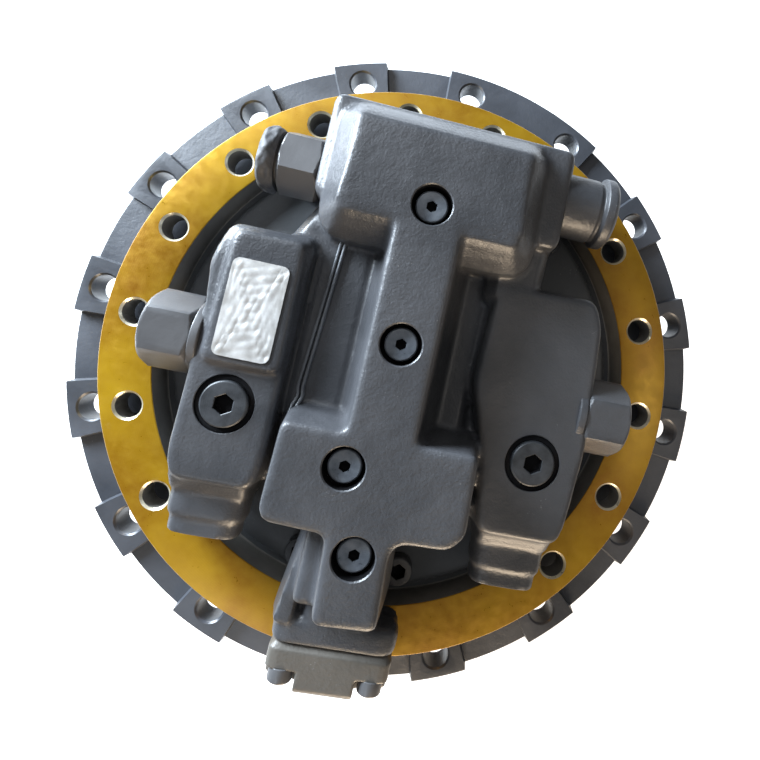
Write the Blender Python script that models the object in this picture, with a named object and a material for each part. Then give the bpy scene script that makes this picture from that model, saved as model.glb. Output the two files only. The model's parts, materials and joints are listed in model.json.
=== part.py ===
"""Excavator final drive: a piston motor, a two-stage planetary gear and the rotating drum round them.

The spindle bolts to the track frame by its yellow flange. The drum turns round it on two roller bearings
and carries the sprocket on its own flange. The part stands on its end cover with the motor side up.
+Z is the drive's axis, +Y points to the counterbalance block of the valve head, and z = 0 is the flat
centre of the end cover.
"""
import math

import bmesh
import bpy
from mathutils import Matrix, Vector

MM = 0.001

# Fits
GAP = 0.3 * MM
RUNNING_GAP = 0.5 * MM
OVERRUN = 5 * MM

# Facets
RIM_SEGMENTS = 40
RING_SEGMENTS = 28
SMALL_SEGMENTS = 12
HOLE_SEGMENTS = 8
HEX_SEGMENTS = 12

# Sprocket flange and drum
SPROCKET_PCR_OUT = 34 * MM
SPROCKET_HOLES = 16
SPROCKET_HOLE_R = 10 * MM
SPROCKET_PHASE = math.radians(-2.73)
SPROCKET_EDGE = 17.5 * MM
SPROCKET_FLANGE_T = 24 * MM
PAD_FACE_RISE = 9 * MM
PAD_ANGLE = math.radians(10.2)
PAD_STEP = 5.5 * MM
PAD_INSET = 3 * MM
PAD_FOOT = 6 * MM
JOINED_PAD = 3
RECESS_STEPS = 3
DRUM_WALL = 24 * MM
DRUM_FILLET = 9 * MM
COLLAR_WIDTH = 6 * MM
COLLAR_RISE = 11 * MM

# End cover
COVER_DEPTH = 30 * MM
COVER_CONE = 28 * MM
COVER_WALL = 12 * MM
COVER_RIM_T = 16 * MM
COVER_SPIGOT = 9 * MM
COVER_SPIGOT_WALL = 12 * MM
COVER_BOLTS = 12
BOLT_SIDES = 6
COVER_BOLT_OUT = 13 * MM
COVER_BOLT_AF = 18 * MM
COVER_BOLT_HEAD = 8 * MM
COVER_PLUGS = 3
COVER_PLUG_IN = 16 * MM
COVER_PLUG_AF = 20 * MM
COVER_PLUG_Z = 3 * MM
THRUST_BOSS_R = 22 * MM

# Gears
MODULE = 6 * MM
PRESSURE_ANGLE = math.radians(20)
ADDENDUM_SHARE = 0.7
DEDENDUM_SHARE = 0.95
TOOTH_PLAY = 0.35 * MM
RING_TEETH = 50
RING_GEAR_WALL = 18.3 * MM
RING_GEAR_OVERHANG = 5.3 * MM
SUN_1_TEETH = 10
PLANET_1_TEETH = 20
PLANET_1_COUNT = 3
GEAR_1_WIDTH = 30 * MM
PIN_1_R = 16 * MM
CARRIER_1_T = 12 * MM
CARRIER_1_R = 116 * MM
COVER_TO_GEAR_1 = 14 * MM
SUN_2_TEETH = 14
PLANET_2_TEETH = 18
PLANET_2_COUNT = 4
GEAR_2_WIDTH = 38 * MM
PIN_2_R = 18 * MM
PIN_2_GRIP = 14 * MM
PIN_HEAD_RISE = 6 * MM
PIN_HEAD_T = 4 * MM
GEAR_SIDE_GAP = 2 * MM
STAGE_SPACE = 7 * MM
SUN_2_BORE_R = 26 * MM

# Bearings
BEARING_SECTION = 52 * MM
BEARING_WIDTH = 26 * MM
ROLLER_R = 11 * MM
ROLLERS = 8
ROLLER_END_GAP = 2 * MM
CAGE_T = 3 * MM
CAGE_WIDTH = 12 * MM
CAGE_FACETS = 2
BEARING_TO_GEAR = 13.7 * MM
BEARING_SPACE = 18 * MM
DRUM_RIB = 8 * MM
NUT_T = 13 * MM
NUT_WALL = 14 * MM
NUT_SLOTS = 6
NUT_SLOT_WIDTH = 12 * MM
NUT_SLOT_DEPTH = 6 * MM
NUT_ARC_STEPS = 3

# Floating seal
SEAL_WIDTH = 23 * MM
SEAL_RING_T = 6.4 * MM
SKIRT_WALL = 4.4 * MM
SKIRT_TO_BEARING = 8 * MM
SKIRT_DROP = 23 * MM
POCKET_WEB = 12 * MM

# Spindle and its frame flange
FRAME_EDGE = 19 * MM
FRAME_FLANGE_T = 22 * MM
FRAME_HOLE_IN = 17 * MM
FRAME_HOLE_R = 9 * MM
FRAME_PITCH = math.radians(20)
FRAME_FIRST = math.radians(-40)
FRAME_HOLES = 14
POCKET_WALL = 6 * MM
POCKET_DEPTH = 26 * MM
SPINDLE_WALL = 26 * MM
SPINDLE_END_WALL = 18 * MM
SPINDLE_SHOULDER = 18 * MM
BRAKE_STEP = 8 * MM
SPINDLE_SHAFT_BORE_R = 27 * MM

# Motor rotating group
SPLINE_KEYS = 6
SPLINE_R = 17 * MM
SPLINE_ROOT_R = 14.5 * MM
SPLINE_SHARES = (-0.27, -0.23, 0.23, 0.27)
SHAFT_R = 14 * MM
JOURNAL_R = 20 * MM
HEAD_JOURNAL_R = 14 * MM
HEAD_JOURNAL = 20 * MM
PISTONS = 9
PISTON_WALL = 20 * MM
PISTON_R = 9 * MM
SHOE_R = 13 * MM
SHOE_T = 4 * MM
SWASH_RIM = 2 * MM
SWASH_HOLE_R = 24 * MM
SWASH_T = 16 * MM
RETAINER_PLAY = 2 * MM
RETAINER_T = 4 * MM
BRAKE_WIDTH = 34 * MM
BLOCK_LENGTH = 50 * MM
BLOCK_BORE_DEPTH = 36 * MM
VALVE_PLATE_IN = 6 * MM
VALVE_PLATE_T = 5 * MM
KIDNEY_HALF_ANGLE = math.radians(62)
KIDNEY_SHARES = (-1, -0.5, 0, 0.5, 1)

# Parking brake
BRAKE_DISCS = 1
BRAKE_DISC_T = 3 * MM
BRAKE_DISC_GAP = 0.4 * MM
BRAKE_DISC_EDGE = 10 * MM
BRAKE_PLATE_OUT = 6 * MM
BRAKE_LEDGE = 8 * MM
BRAKE_PISTON_T = 15 * MM
BRAKE_PISTON_OUT = 10 * MM
BRAKE_SPRING_T = 3 * MM

# Valve head, heights above the pad face
COLUMN_RISE = 118 * MM
LOBE_RISE = 84 * MM
PLATE_PAD_RISE = 90 * MM
VALLEY_RISE = 66 * MM
HEAD_DRAFT = 4 * MM
CAST_EDGE = 3 * MM
CAST_CORNER = 7 * MM
CORNER_STEPS = 1
HEAD_BASE_PLAY = 7 * MM
HEAD_BASE_T = 8 * MM
HEAD_POCKET_CLEARANCE = 4 * MM
COLUMN_HALF_WIDTH = 21.5 * MM
COLUMN_DRAFT = 12 * MM
COLUMN_END_Y = 100 * MM
TOP_BLOCK_HALF_WIDTH = 58 * MM
TOP_BLOCK_LOW_Y = 93 * MM
TOP_BLOCK_HIGH_Y = 153.5 * MM
TOP_TIER_LEFT_X = 78 * MM
TOP_TIER_RIGHT_X = 88 * MM
TOP_TIER_LOW_Y = 101 * MM
TOP_TIER_HIGH_Y = 171 * MM
TOP_TIER_RISE = 94 * MM
LOW_BLOCK_HALF_WIDTH = 60.5 * MM
LOW_BLOCK_LOW_Y = -98 * MM
LOW_BLOCK_HIGH_Y = -40 * MM
FOOT_HALF_WIDTH = 20.5 * MM
FOOT_ARM_LEFT_X = -33 * MM
FOOT_END_Y = -151 * MM
FOOT_FACE_Y = -183 * MM
FOOT_FLANGE_Y = -163 * MM
FOOT_FLANGE_HALF_WIDTH = 40 * MM
FOOT_FLANGE_LOW = 37 * MM
FOOT_FLANGE_RISE = 80 * MM
FOOT_X = -2 * MM
FOOT_ARM_RISE = 96 * MM
LOBE_OUTER_X = 132 * MM
LOBE_LEFT_INNER_X = -69 * MM
LOBE_RIGHT_INNER_X = 54 * MM
LOBE_HIGH_Y = 73 * MM
LOBE_LOW_Y = -93 * MM
LOBE_FLAT_Y = -68 * MM
LOBE_SLOPE_DROP = 6 * MM
LOBE_END_Y = -105 * MM
LOBE_END_DROP = 15 * MM
LOBE_BULGE = 3 * MM
LOBE_SHIFT_X = 2 * MM
LOBE_RIGHT_LOW_X = 72 * MM
PLATE_PAD_X = -98 * MM
PLATE_PAD_Y = 26 * MM
PLATE_PAD_WIDTH = 48 * MM
PLATE_PAD_HEIGHT = 86 * MM
NAMEPLATE_Y = 19 * MM
NAMEPLATE_WIDTH = 36 * MM
NAMEPLATE_HEIGHT = 63 * MM
NAMEPLATE_T = 0.8 * MM
NAMEPLATE_CORNER = 5 * MM
RIDGE_X = -56 * MM
RIDGE_WIDTH = 6 * MM
RIDGE_RISE = 5 * MM
RIDGE_HIGH_Y = 92 * MM

# Bores and pieces of the valve head
PORT_X = 103 * MM
PORT_RISE = 53 * MM
PORT_BOSS_WIDTH = 51 * MM
PORT_BOSS_HEIGHT = 33 * MM
PORT_BOSS_CORNER = 12 * MM
PORT_BOSS_END_Y = -122 * MM
PORT_LIP_END_Y = -133 * MM
PORT_LIP_STEP = 1.5 * MM
PORT_BOSS_START_Y = -80 * MM
PORT_R = 12.5 * MM
PORT_DEPTH = 40 * MM
SIDE_VALVE_Y = -5 * MM
SIDE_VALVE_RISE = 62.5 * MM
SIDE_VALVE_AF = 48 * MM
SIDE_VALVE_SHANK_R = 17 * MM
SIDE_VALVE_GRIP = 34 * MM
SIDE_VALVE_COLLAR = 7 * MM
SIDE_VALVE_COLLAR_R = 26 * MM
SIDE_VALVE_HEX = 24 * MM
SIDE_VALVE_HEX_CHAMFER = 3 * MM
SIDE_VALVE_FACE_X = 138 * MM
SPOOL_Y = 122 * MM
SPOOL_RISE = 69 * MM
SPOOL_R = 13 * MM
SPOOL_WAIST_R = 8 * MM
SPOOL_LENGTH = 84 * MM
SPOOL_TRAVEL = 5 * MM
SPOOL_BORE_END_X = 52 * MM
SPOOL_LANDS = 3
CAP_SPOTFACE_R = 27.5 * MM
LEFT_CAP_AF = 41 * MM
LEFT_CAP_HEX = 28 * MM
LEFT_CAP_THREAD_R = 18 * MM
LEFT_CAP_GRIP = 18 * MM
LEFT_CAP_RIM_R = 23 * MM
LEFT_CAP_RIM = 11 * MM
LEFT_CAP_RIM_LIFT = 2 * MM
RIGHT_CAP_Y = 139 * MM
RIGHT_CAP_R = 23 * MM
RIGHT_CAP_LENGTH = 28 * MM
RIGHT_CAP_RIM_R = 26 * MM
RIGHT_CAP_RIM = 9 * MM
RIGHT_CAP_THREAD_R = 16 * MM
RIGHT_CAP_GRIP = 20 * MM
SPEED_SPOOL_RISE = 59 * MM
SPEED_SPOOL_R = 10 * MM
SPEED_SPOOL_WAIST_R = 6 * MM
SPEED_SPOOL_LENGTH = 50 * MM
SPEED_SPOOL_TRAVEL = 4 * MM
SPEED_BORE_DEPTH = 74 * MM
END_COVER_T = 16 * MM
END_COVER_DEPTH = 30 * MM
END_NOTCH_CORNER = 4 * MM
END_SCREW_ROOM = 10 * MM
END_SCREW_X = 29 * MM
END_SCREW_Z = 14.5 * MM
END_SCREW_R = 5 * MM
END_SCREW_HEAD_R = 8 * MM
END_SCREW_HEAD = 9 * MM
END_SCREW_GRIP = 15 * MM
GAUGE_PLUG_X = 102 * MM
GAUGE_PLUG_Y = -42.5 * MM
GAUGE_PLUG_R = 17.5 * MM
GAUGE_SPOTFACE_R = 20 * MM
GAUGE_SPOTFACE = 1.5 * MM
GAUGE_PLUG_THREAD_R = 13 * MM
GAUGE_PLUG_HEAD = 6 * MM
GAUGE_PLUG_GRIP = 16 * MM
GAUGE_SOCKET_AF = 14 * MM
PLUG_R = 9.3 * MM
PLUG_COUNTERBORE_R = 12.3 * MM
PLUG_SINK = 3 * MM
PLUG_LENGTH = 12 * MM
PLUG_SOCKET_AF = 7 * MM
SOCKET_DEPTH_SHARE = 0.55
PLUG_CHAMFER = 1 * MM
HEAD_BOLT_IN = 14 * MM
HEAD_BOLT_ANGLES = [math.radians(a) for a in (128, 52, 182, -2, 254.5, 282.5)]
HEAD_BOLT_HEAD_R = 10.5 * MM
HEAD_BOLT_HEAD = 12 * MM
SPRING_TURNS = 4
SPRING_WIRE_R = 1.6 * MM
SPRING_TURN_POINTS = 8
SPRING_SIDES = 3
PLUG_X = -1 * MM
TOP_PLUG_Y = 106 * MM
COLUMN_PLUG_Y = 18 * MM
LOW_PLUG_X = -18 * MM
LOW_PLUG_Y = -60 * MM
FOOT_PLUG_Y = -110 * MM
PASSAGE_PLUGS = (
    (PLUG_X, TOP_PLUG_Y), (PLUG_X, COLUMN_PLUG_Y), (LOW_PLUG_X, LOW_PLUG_Y), (PLUG_X, FOOT_PLUG_Y))
SHARP = math.radians(35)

# Radii, each from the piece inside it
BEARING_OUTER_R = (RING_TEETH / 2 + DEDENDUM_SHARE) * MODULE + RING_GEAR_WALL
BEARING_SEAT_R = BEARING_OUTER_R - BEARING_SECTION
BEARING_PCR = (BEARING_SEAT_R + BEARING_OUTER_R) / 2
DRUM_R = BEARING_OUTER_R + DRUM_WALL
COLLAR_R = DRUM_R + COLLAR_WIDTH
PAD_INNER_R = COLLAR_R + PAD_FOOT
SPROCKET_PCR = DRUM_R + SPROCKET_PCR_OUT
SPROCKET_FLANGE_R = SPROCKET_PCR + SPROCKET_EDGE
COVER_BOSS_R = BEARING_OUTER_R - COVER_CONE
COVER_BOLT_PCR = BEARING_OUTER_R + COVER_BOLT_OUT
COVER_PLUG_PCR = BEARING_OUTER_R - COVER_PLUG_IN
SEAL_INNER_R = BEARING_OUTER_R - SEAL_WIDTH
SEAL_HOUSING_R = BEARING_OUTER_R + 2 * GAP
SKIRT_R = SEAL_HOUSING_R + SKIRT_WALL
POCKET_R = SKIRT_R - POCKET_WALL
FRAME_PCR = POCKET_R + FRAME_HOLE_IN
FRAME_FLANGE_R = FRAME_PCR + FRAME_EDGE
SPINDLE_NECK_R = BEARING_SEAT_R + SPINDLE_SHOULDER
MOTOR_BORE_R = BEARING_SEAT_R - SPINDLE_WALL
SWASH_BORE_R = MOTOR_BORE_R - BRAKE_STEP
BRAKE_DISC_R = MOTOR_BORE_R - BRAKE_DISC_EDGE
BLOCK_R = MOTOR_BORE_R - BRAKE_WIDTH
PISTON_PCR = BLOCK_R - PISTON_WALL
SWASH_R = BLOCK_R + SWASH_RIM
RETAINER_R = BLOCK_R - RETAINER_PLAY
VALVE_PLATE_R = BLOCK_R - VALVE_PLATE_IN
BRAKE_PLATE_INNER_R = BLOCK_R + BRAKE_PLATE_OUT
BRAKE_PISTON_INNER_R = BLOCK_R + BRAKE_PISTON_OUT
HEAD_BASE_R = POCKET_R - HEAD_BASE_PLAY
HEAD_BOLT_PCR = HEAD_BASE_R - HEAD_BOLT_IN

# Places along the axis, each from the piece below it
COVER_FLOOR_Z = COVER_WALL
SPIGOT_Z = COVER_DEPTH + COVER_SPIGOT
RING_GEAR_Z = SPIGOT_Z + GAP
GEAR_1_Z = COVER_DEPTH + COVER_TO_GEAR_1
GEAR_1_TOP = GEAR_1_Z + GEAR_1_WIDTH
CARRIER_1_Z = GEAR_1_TOP + GEAR_SIDE_GAP
CARRIER_1_TOP = CARRIER_1_Z + CARRIER_1_T
GEAR_2_Z = CARRIER_1_TOP + STAGE_SPACE
GEAR_2_TOP = GEAR_2_Z + GEAR_2_WIDTH
RING_GEAR_TOP = GEAR_2_TOP + RING_GEAR_OVERHANG
SPINDLE_Z = GEAR_2_TOP + GEAR_SIDE_GAP
MOTOR_FLOOR_Z = SPINDLE_Z + SPINDLE_END_WALL
BEARING_LOWER_Z = RING_GEAR_TOP + BEARING_TO_GEAR
BEARING_LOWER_TOP = BEARING_LOWER_Z + BEARING_WIDTH
BEARING_UPPER_Z = BEARING_LOWER_TOP + BEARING_SPACE
BEARING_UPPER_TOP = BEARING_UPPER_Z + BEARING_WIDTH
SKIRT_Z = BEARING_UPPER_TOP + SKIRT_TO_BEARING
PAD_FACE_Z = SKIRT_Z + PAD_FACE_RISE
SPROCKET_UNDER_Z = PAD_FACE_Z - SPROCKET_FLANGE_T
FRAME_UNDER_Z = SKIRT_Z + SKIRT_DROP
FRAME_FACE_Z = FRAME_UNDER_Z + FRAME_FLANGE_T
POCKET_Z = FRAME_FACE_Z - POCKET_DEPTH
WEB_Z = POCKET_Z - POCKET_WEB
HEAD_Z = POCKET_Z + GAP
BLOCK_START_Z = HEAD_Z + HEAD_BASE_T / 2
SHAFT_Z = GEAR_1_Z - GEAR_SIDE_GAP
SWASH_Z = MOTOR_FLOOR_Z + GAP
SHOE_Z = SWASH_Z + SWASH_T + GAP
VALVE_PLATE_Z = POCKET_Z - VALVE_PLATE_T
BLOCK_TOP = VALVE_PLATE_Z - GAP
BLOCK_Z = BLOCK_TOP - BLOCK_LENGTH
BRAKE_LEDGE_Z = BLOCK_Z - BRAKE_LEDGE / 2
BRAKE_PITCH = BRAKE_DISC_T + BRAKE_DISC_GAP
BRAKE_PISTON_Z = BRAKE_LEDGE_Z + 2 * BRAKE_DISCS * BRAKE_PITCH + GAP
COLUMN_TOP = PAD_FACE_Z + COLUMN_RISE
LOBE_TOP = PAD_FACE_Z + LOBE_RISE
PAD_TOP = PAD_FACE_Z + PLATE_PAD_RISE
VALLEY_TOP = PAD_FACE_Z + VALLEY_RISE
TOP_TIER_TOP = PAD_FACE_Z + TOP_TIER_RISE
FOOT_FLANGE_BOTTOM = PAD_FACE_Z + FOOT_FLANGE_LOW
FOOT_FLANGE_TOP = PAD_FACE_Z + FOOT_FLANGE_RISE
FOOT_ARM_TOP = PAD_FACE_Z + FOOT_ARM_RISE
PORT_Z = PAD_FACE_Z + PORT_RISE
SIDE_VALVE_Z = PAD_FACE_Z + SIDE_VALVE_RISE
SPOOL_Z = PAD_FACE_Z + SPOOL_RISE
SPEED_SPOOL_Z = PAD_FACE_Z + SPEED_SPOOL_RISE
SPOOL_CENTRE_X = SPOOL_BORE_END_X - SPOOL_TRAVEL - GAP - SPOOL_LENGTH / 2
SUN_1_PITCH_R = SUN_1_TEETH * MODULE / 2
PLANET_1_PITCH_R = PLANET_1_TEETH * MODULE / 2
CARRIER_1_PCR = SUN_1_PITCH_R + PLANET_1_PITCH_R
SUN_2_PITCH_R = SUN_2_TEETH * MODULE / 2
PLANET_2_PITCH_R = PLANET_2_TEETH * MODULE / 2
CARRIER_2_PCR = SUN_2_PITCH_R + PLANET_2_PITCH_R

for leftover in list(bpy.data.objects):
    bpy.data.objects.remove(leftover, do_unlink=True)


def material(name, colour, metallic, roughness):
    """A plain surface with one colour."""
    look = bpy.data.materials.new(name)
    look.use_nodes = True
    shader = look.node_tree.nodes["Principled BSDF"]
    shader.inputs["Base Color"].default_value = (*colour, 1)
    shader.inputs["Metallic"].default_value = metallic
    shader.inputs["Roughness"].default_value = roughness
    return look


CAST_PAINT = material("cast_paint", (0.075, 0.08, 0.085), 0.25, 0.5)
FLANGE_FACE = material("flange_face", (0.55, 0.4, 0.08), 0.75, 0.35)
STEEL = material("steel", (0.45, 0.45, 0.44), 0.95, 0.35)
PLUG_STEEL = material("plug_steel", (0.3, 0.31, 0.32), 0.9, 0.3)
GEAR_STEEL = material("gear_steel", (0.36, 0.37, 0.38), 0.95, 0.3)
BRONZE = material("bronze", (0.5, 0.32, 0.14), 0.9, 0.35)
FRICTION = material("friction_lining", (0.12, 0.1, 0.08), 0.1, 0.85)
FOIL = material("foil_plate", (0.75, 0.75, 0.74), 0.8, 0.4)


def polar(radius, angle):
    """The point at a radius and an angle."""
    return radius * math.cos(angle), radius * math.sin(angle)


def clear(radius, segments):
    """The corner radius of a faceted bore whose flats lie at the true radius."""
    return radius / math.cos(math.pi / segments)


def circle(radius, count, phase=0.0):
    return [polar(radius, phase + math.tau * i / count) for i in range(count)]


def hexagon(across_flats, count, phase=0.0):
    """Points at even angles round a hexagon, with a corner at the phase."""
    side = math.tau / 6
    points = []
    for i in range(count):
        turn = math.tau * i / count
        reach = across_flats / 2 / math.cos(turn % side - side / 2)
        points.append(polar(reach, phase + turn))
    return points


def level(points, z):
    """The flat points lifted to a height."""
    return [(x, y, z) for x, y in points]


def axis_to(direction):
    """The turn that carries +Z to a direction."""
    return Vector(direction).to_track_quat("Z", "Y").to_matrix().to_4x4()


def place(at, direction=(0, 0, 1)):
    return Matrix.Translation(Vector(at)) @ axis_to(direction)


def loft(mesh, rings, where=Matrix(), closed=False):
    """Skins a solid over rings of points: one point is a pole, and open ends are capped."""
    rows = [[mesh.verts.new(where @ Vector(point)) for point in ring] for ring in rings]
    pairs = list(zip(rows, rows[1:]))
    if closed:
        pairs.append((rows[-1], rows[0]))
    for low, high in pairs:
        count = max(len(low), len(high))
        for i in range(count):
            j = (i + 1) % count
            corners = [low[i % len(low)], low[j % len(low)], high[j % len(high)], high[i % len(high)]]
            mesh.faces.new(list(dict.fromkeys(corners)))
    if not closed:
        for end in (rows[0], rows[-1]):
            if len(end) > 2:
                mesh.faces.new(end)
    return mesh


def turned(mesh, profile, segments, where=Matrix(), inner=()):
    """Revolves a profile of radii and heights about the axis.

    The points whose places in the profile are listed as inner belong to a bore, so their facets are
    drawn outside the true radius.
    """
    rings = []
    for index, (radius, z) in enumerate(profile):
        if radius == 0:
            rings.append([(0, 0, z)])
            continue
        reach = clear(radius, segments) if index in inner else radius
        rings.append(level(circle(reach, segments, math.pi / segments), z))
    hollow = all(radius > 0 for radius, z in profile)
    return loft(mesh, rings, where, closed=hollow)


def disc(mesh, radius, low, high, segments, where=Matrix()):
    outline = circle(radius, segments, math.pi / segments)
    return loft(mesh, [level(outline, z) for z in (low, high)], where)


def washer(mesh, inner_r, outer_r, low, high, segments, where=Matrix()):
    """A flat ring whose bore clears its true radius."""
    profile = [(outer_r, low), (outer_r, high), (inner_r, high), (inner_r, low)]
    return turned(mesh, profile, segments, where, inner=(2, 3))


def plate(mesh, loops, low, high, where=Matrix()):
    """Extrudes a flat outline with holes: the first loop is the outside."""
    sides = []
    bottom_edges = []
    top_of = {}
    for loop in loops:
        bottom = [mesh.verts.new(where @ Vector((x, y, low))) for x, y in loop]
        top = [mesh.verts.new(where @ Vector((x, y, high))) for x, y in loop]
        top_of.update(zip(bottom, top))
        for i, corner in enumerate(bottom):
            following = bottom[(i + 1) % len(bottom)]
            bottom_edges.append(mesh.edges.new((corner, following)))
            sides.append((corner, following))
    filled = bmesh.ops.triangle_fill(mesh, edges=bottom_edges, use_beauty=True)
    faces = [item for item in filled["geom"] if isinstance(item, bmesh.types.BMFace)]
    for face in faces:
        mesh.faces.new([top_of[corner] for corner in reversed(face.verts)])
    for corner, following in sides:
        mesh.faces.new((corner, following, top_of[following], top_of[corner]))
    return mesh


def add(name, mesh, look, at=(0, 0, 0)):
    """Makes the named object, with its origin on its own axis."""
    bmesh.ops.recalc_face_normals(mesh, faces=mesh.faces)
    data = bpy.data.meshes.new(name)
    mesh.to_mesh(data)
    mesh.free()
    data.materials.append(look)
    data.shade_smooth()
    data.set_sharp_from_angle(angle=SHARP)
    item = bpy.data.objects.new(name, data)
    item.location = at
    bpy.context.scene.collection.objects.link(item)
    return item


def combine(base, others, operation):
    """Unites the base with other bodies or cuts them from it, and removes them."""
    for other in others:
        step = base.modifiers.new(other.name, "BOOLEAN")
        step.operation = operation
        step.object = other
    bpy.context.view_layer.update()
    graph = bpy.context.evaluated_depsgraph_get()
    shaped = bpy.data.meshes.new_from_object(base.evaluated_get(graph))
    base.modifiers.clear()
    base.data = shaped
    shaped.set_sharp_from_angle(angle=SHARP)
    for other in others:
        bpy.data.objects.remove(other, do_unlink=True)
    return base


def body(mesh):
    """A nameless body for an operation between solids."""
    return add("body", mesh, CAST_PAINT)


def offset(points, distance):
    """Moves each side of a convex outline outward and keeps its corners."""
    moved = []
    count = len(points)
    for i in range(count):
        before = Vector(points[i - 1])
        here = Vector(points[i])
        after = Vector(points[(i + 1) % count])
        first = (here - before).normalized()
        second = (after - here).normalized()
        normal = Vector((first.y + second.y, -first.x - second.x)).normalized()
        reach = distance / normal.dot(Vector((first.y, -first.x)))
        moved.append(tuple(here + normal * reach))
    return moved


def rounded(corners, radius):
    """Rounds each corner of a convex outline with an arc."""
    points = []
    count = len(corners)
    for i in range(count):
        here = Vector(corners[i])
        back = (Vector(corners[i - 1]) - here).normalized()
        ahead = (Vector(corners[(i + 1) % count]) - here).normalized()
        half = back.angle(ahead) / 2
        run = radius / math.tan(half)
        centre = here + (back + ahead).normalized() * radius / math.sin(half)
        start = here + back * run - centre
        turn = start.angle_signed(here + ahead * run - centre)
        for step in range(CORNER_STEPS + 1):
            spoke = start.copy()
            spoke.rotate(Matrix.Rotation(-turn * step / CORNER_STEPS, 2))
            points.append(tuple(centre + spoke))
    return points


def box_outline(left, right, low, high):
    return [(left, low), (right, low), (right, high), (left, high)]


def cast_block(outline, low, high, where=Matrix(), draft=HEAD_DRAFT, edge=CAST_EDGE):
    """A cast block: walls that lean in from the base and a broken top edge."""
    foot_ring = level(offset(outline, draft), low)
    rings = [foot_ring, level(outline, high - edge), level(offset(outline, -edge), high)]
    return body(loft(bmesh.new(), rings, where))


# Gears
def involute(radius, base):
    """The angle that an involute has turned through where it reaches a radius."""
    if radius <= base:
        return 0.0
    slope = math.sqrt((radius / base) ** 2 - 1)
    return slope - math.atan(slope)


def gear_outline(teeth, phase, steps=1, internal=False, grow=0.0):
    """Involute teeth, with a tooth centred at the phase.

    An internal gear's outline is the space round its teeth. Growing an outline gives the matching
    internal spline.
    """
    pitch_r = teeth * MODULE / 2
    base = pitch_r * math.cos(PRESSURE_ANGLE)
    play = -TOOTH_PLAY if internal else TOOTH_PLAY
    half = math.pi / 2 / teeth - (play / 2 - grow) / pitch_r
    inward, outward = (ADDENDUM_SHARE, DEDENDUM_SHARE) if internal else (DEDENDUM_SHARE, ADDENDUM_SHARE)
    root = pitch_r - inward * MODULE + grow
    tip = pitch_r + outward * MODULE + grow
    centre = phase + math.pi / teeth if internal else phase
    flank = [root + (tip - root) * i / steps for i in range(steps + 1)]
    half_angles = [half + involute(pitch_r, base) - involute(radius, base) for radius in flank]
    points = []
    for tooth in range(teeth):
        middle = centre + math.tau * tooth / teeth
        rising = [polar(radius, middle - angle) for radius, angle in zip(flank, half_angles)]
        falling = [polar(radius, middle + angle) for radius, angle in zip(flank, half_angles)]
        points += rising + falling[::-1]
    return points


def planet_phase(teeth, at):
    """The turn that puts a planet in mesh with the ring gear, whose first tooth is at angle zero."""
    return at - (math.pi + RING_TEETH * at) / teeth


def sun_phase(teeth, planet_teeth, at):
    """The turn that puts a sun in mesh with the planet at an angle."""
    turn = planet_teeth * (at + math.pi - planet_phase(planet_teeth, at)) - math.pi
    return at + turn / teeth


def planet_angles(count):
    return [math.pi / 2 + math.tau * i / count for i in range(count)]


def make_ring_gear():
    mesh = bmesh.new()
    outside = circle(BEARING_OUTER_R, RIM_SEGMENTS)
    teeth = gear_outline(RING_TEETH, 0, internal=True)
    plate(mesh, [outside, teeth], RING_GEAR_Z, RING_GEAR_TOP)
    return add("ring_gear", mesh, GEAR_STEEL)


def make_planets(stage, count, teeth, pin_r, pcr, low, high):
    """One gear on each pin, in mesh with the ring gear."""
    for letter, at in zip("abcd", planet_angles(count)):
        mesh = bmesh.new()
        outline = gear_outline(teeth, planet_phase(teeth, at))
        bore = circle(clear(pin_r + GAP, SMALL_SEGMENTS), SMALL_SEGMENTS)
        plate(mesh, [outline, bore], low, high)
        add(f"planet_{stage}{letter}", mesh, GEAR_STEEL, (*polar(pcr, at), 0))


def pins(count, pin_r, pcr, low, top):
    """Headed pins: the head keeps the planet on."""
    head = low - GAP
    profile = [(0, head - PIN_HEAD_T), (pin_r + PIN_HEAD_RISE, head - PIN_HEAD_T),
               (pin_r + PIN_HEAD_RISE, head), (pin_r, head), (pin_r, top), (0, top)]
    for at in planet_angles(count):
        yield body(turned(bmesh.new(), profile, SMALL_SEGMENTS, Matrix.Translation((*polar(pcr, at), 0))))


def sun_2_outline(grow=0.0):
    phase = sun_phase(SUN_2_TEETH, PLANET_2_TEETH, planet_angles(PLANET_2_COUNT)[0])
    return gear_outline(SUN_2_TEETH, phase, grow=grow)


def make_first_stage():
    phase = sun_phase(SUN_1_TEETH, PLANET_1_TEETH, planet_angles(PLANET_1_COUNT)[0])
    sun = plate(bmesh.new(), [gear_outline(SUN_1_TEETH, phase), spline_outline(GAP)], GEAR_1_Z, GEAR_1_TOP)
    add("sun_gear_1", sun, GEAR_STEEL)
    make_planets(1, PLANET_1_COUNT, PLANET_1_TEETH, PIN_1_R, CARRIER_1_PCR, GEAR_1_Z, GEAR_1_TOP)
    loops = [circle(CARRIER_1_R, RING_SEGMENTS), sun_2_outline(GAP)]
    carrier = add("carrier_1", plate(bmesh.new(), loops, CARRIER_1_Z, CARRIER_1_TOP), STEEL)
    pin_top = CARRIER_1_TOP - CARRIER_1_T / 2
    combine(carrier, list(pins(PLANET_1_COUNT, PIN_1_R, CARRIER_1_PCR, GEAR_1_Z, pin_top)), "UNION")


def make_second_stage():
    bore = circle(SUN_2_BORE_R, SMALL_SEGMENTS)
    add("sun_gear_2", plate(bmesh.new(), [sun_2_outline(), bore], CARRIER_1_Z, GEAR_2_TOP), GEAR_STEEL)
    make_planets(2, PLANET_2_COUNT, PLANET_2_TEETH, PIN_2_R, CARRIER_2_PCR, GEAR_2_Z, GEAR_2_TOP)


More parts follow.
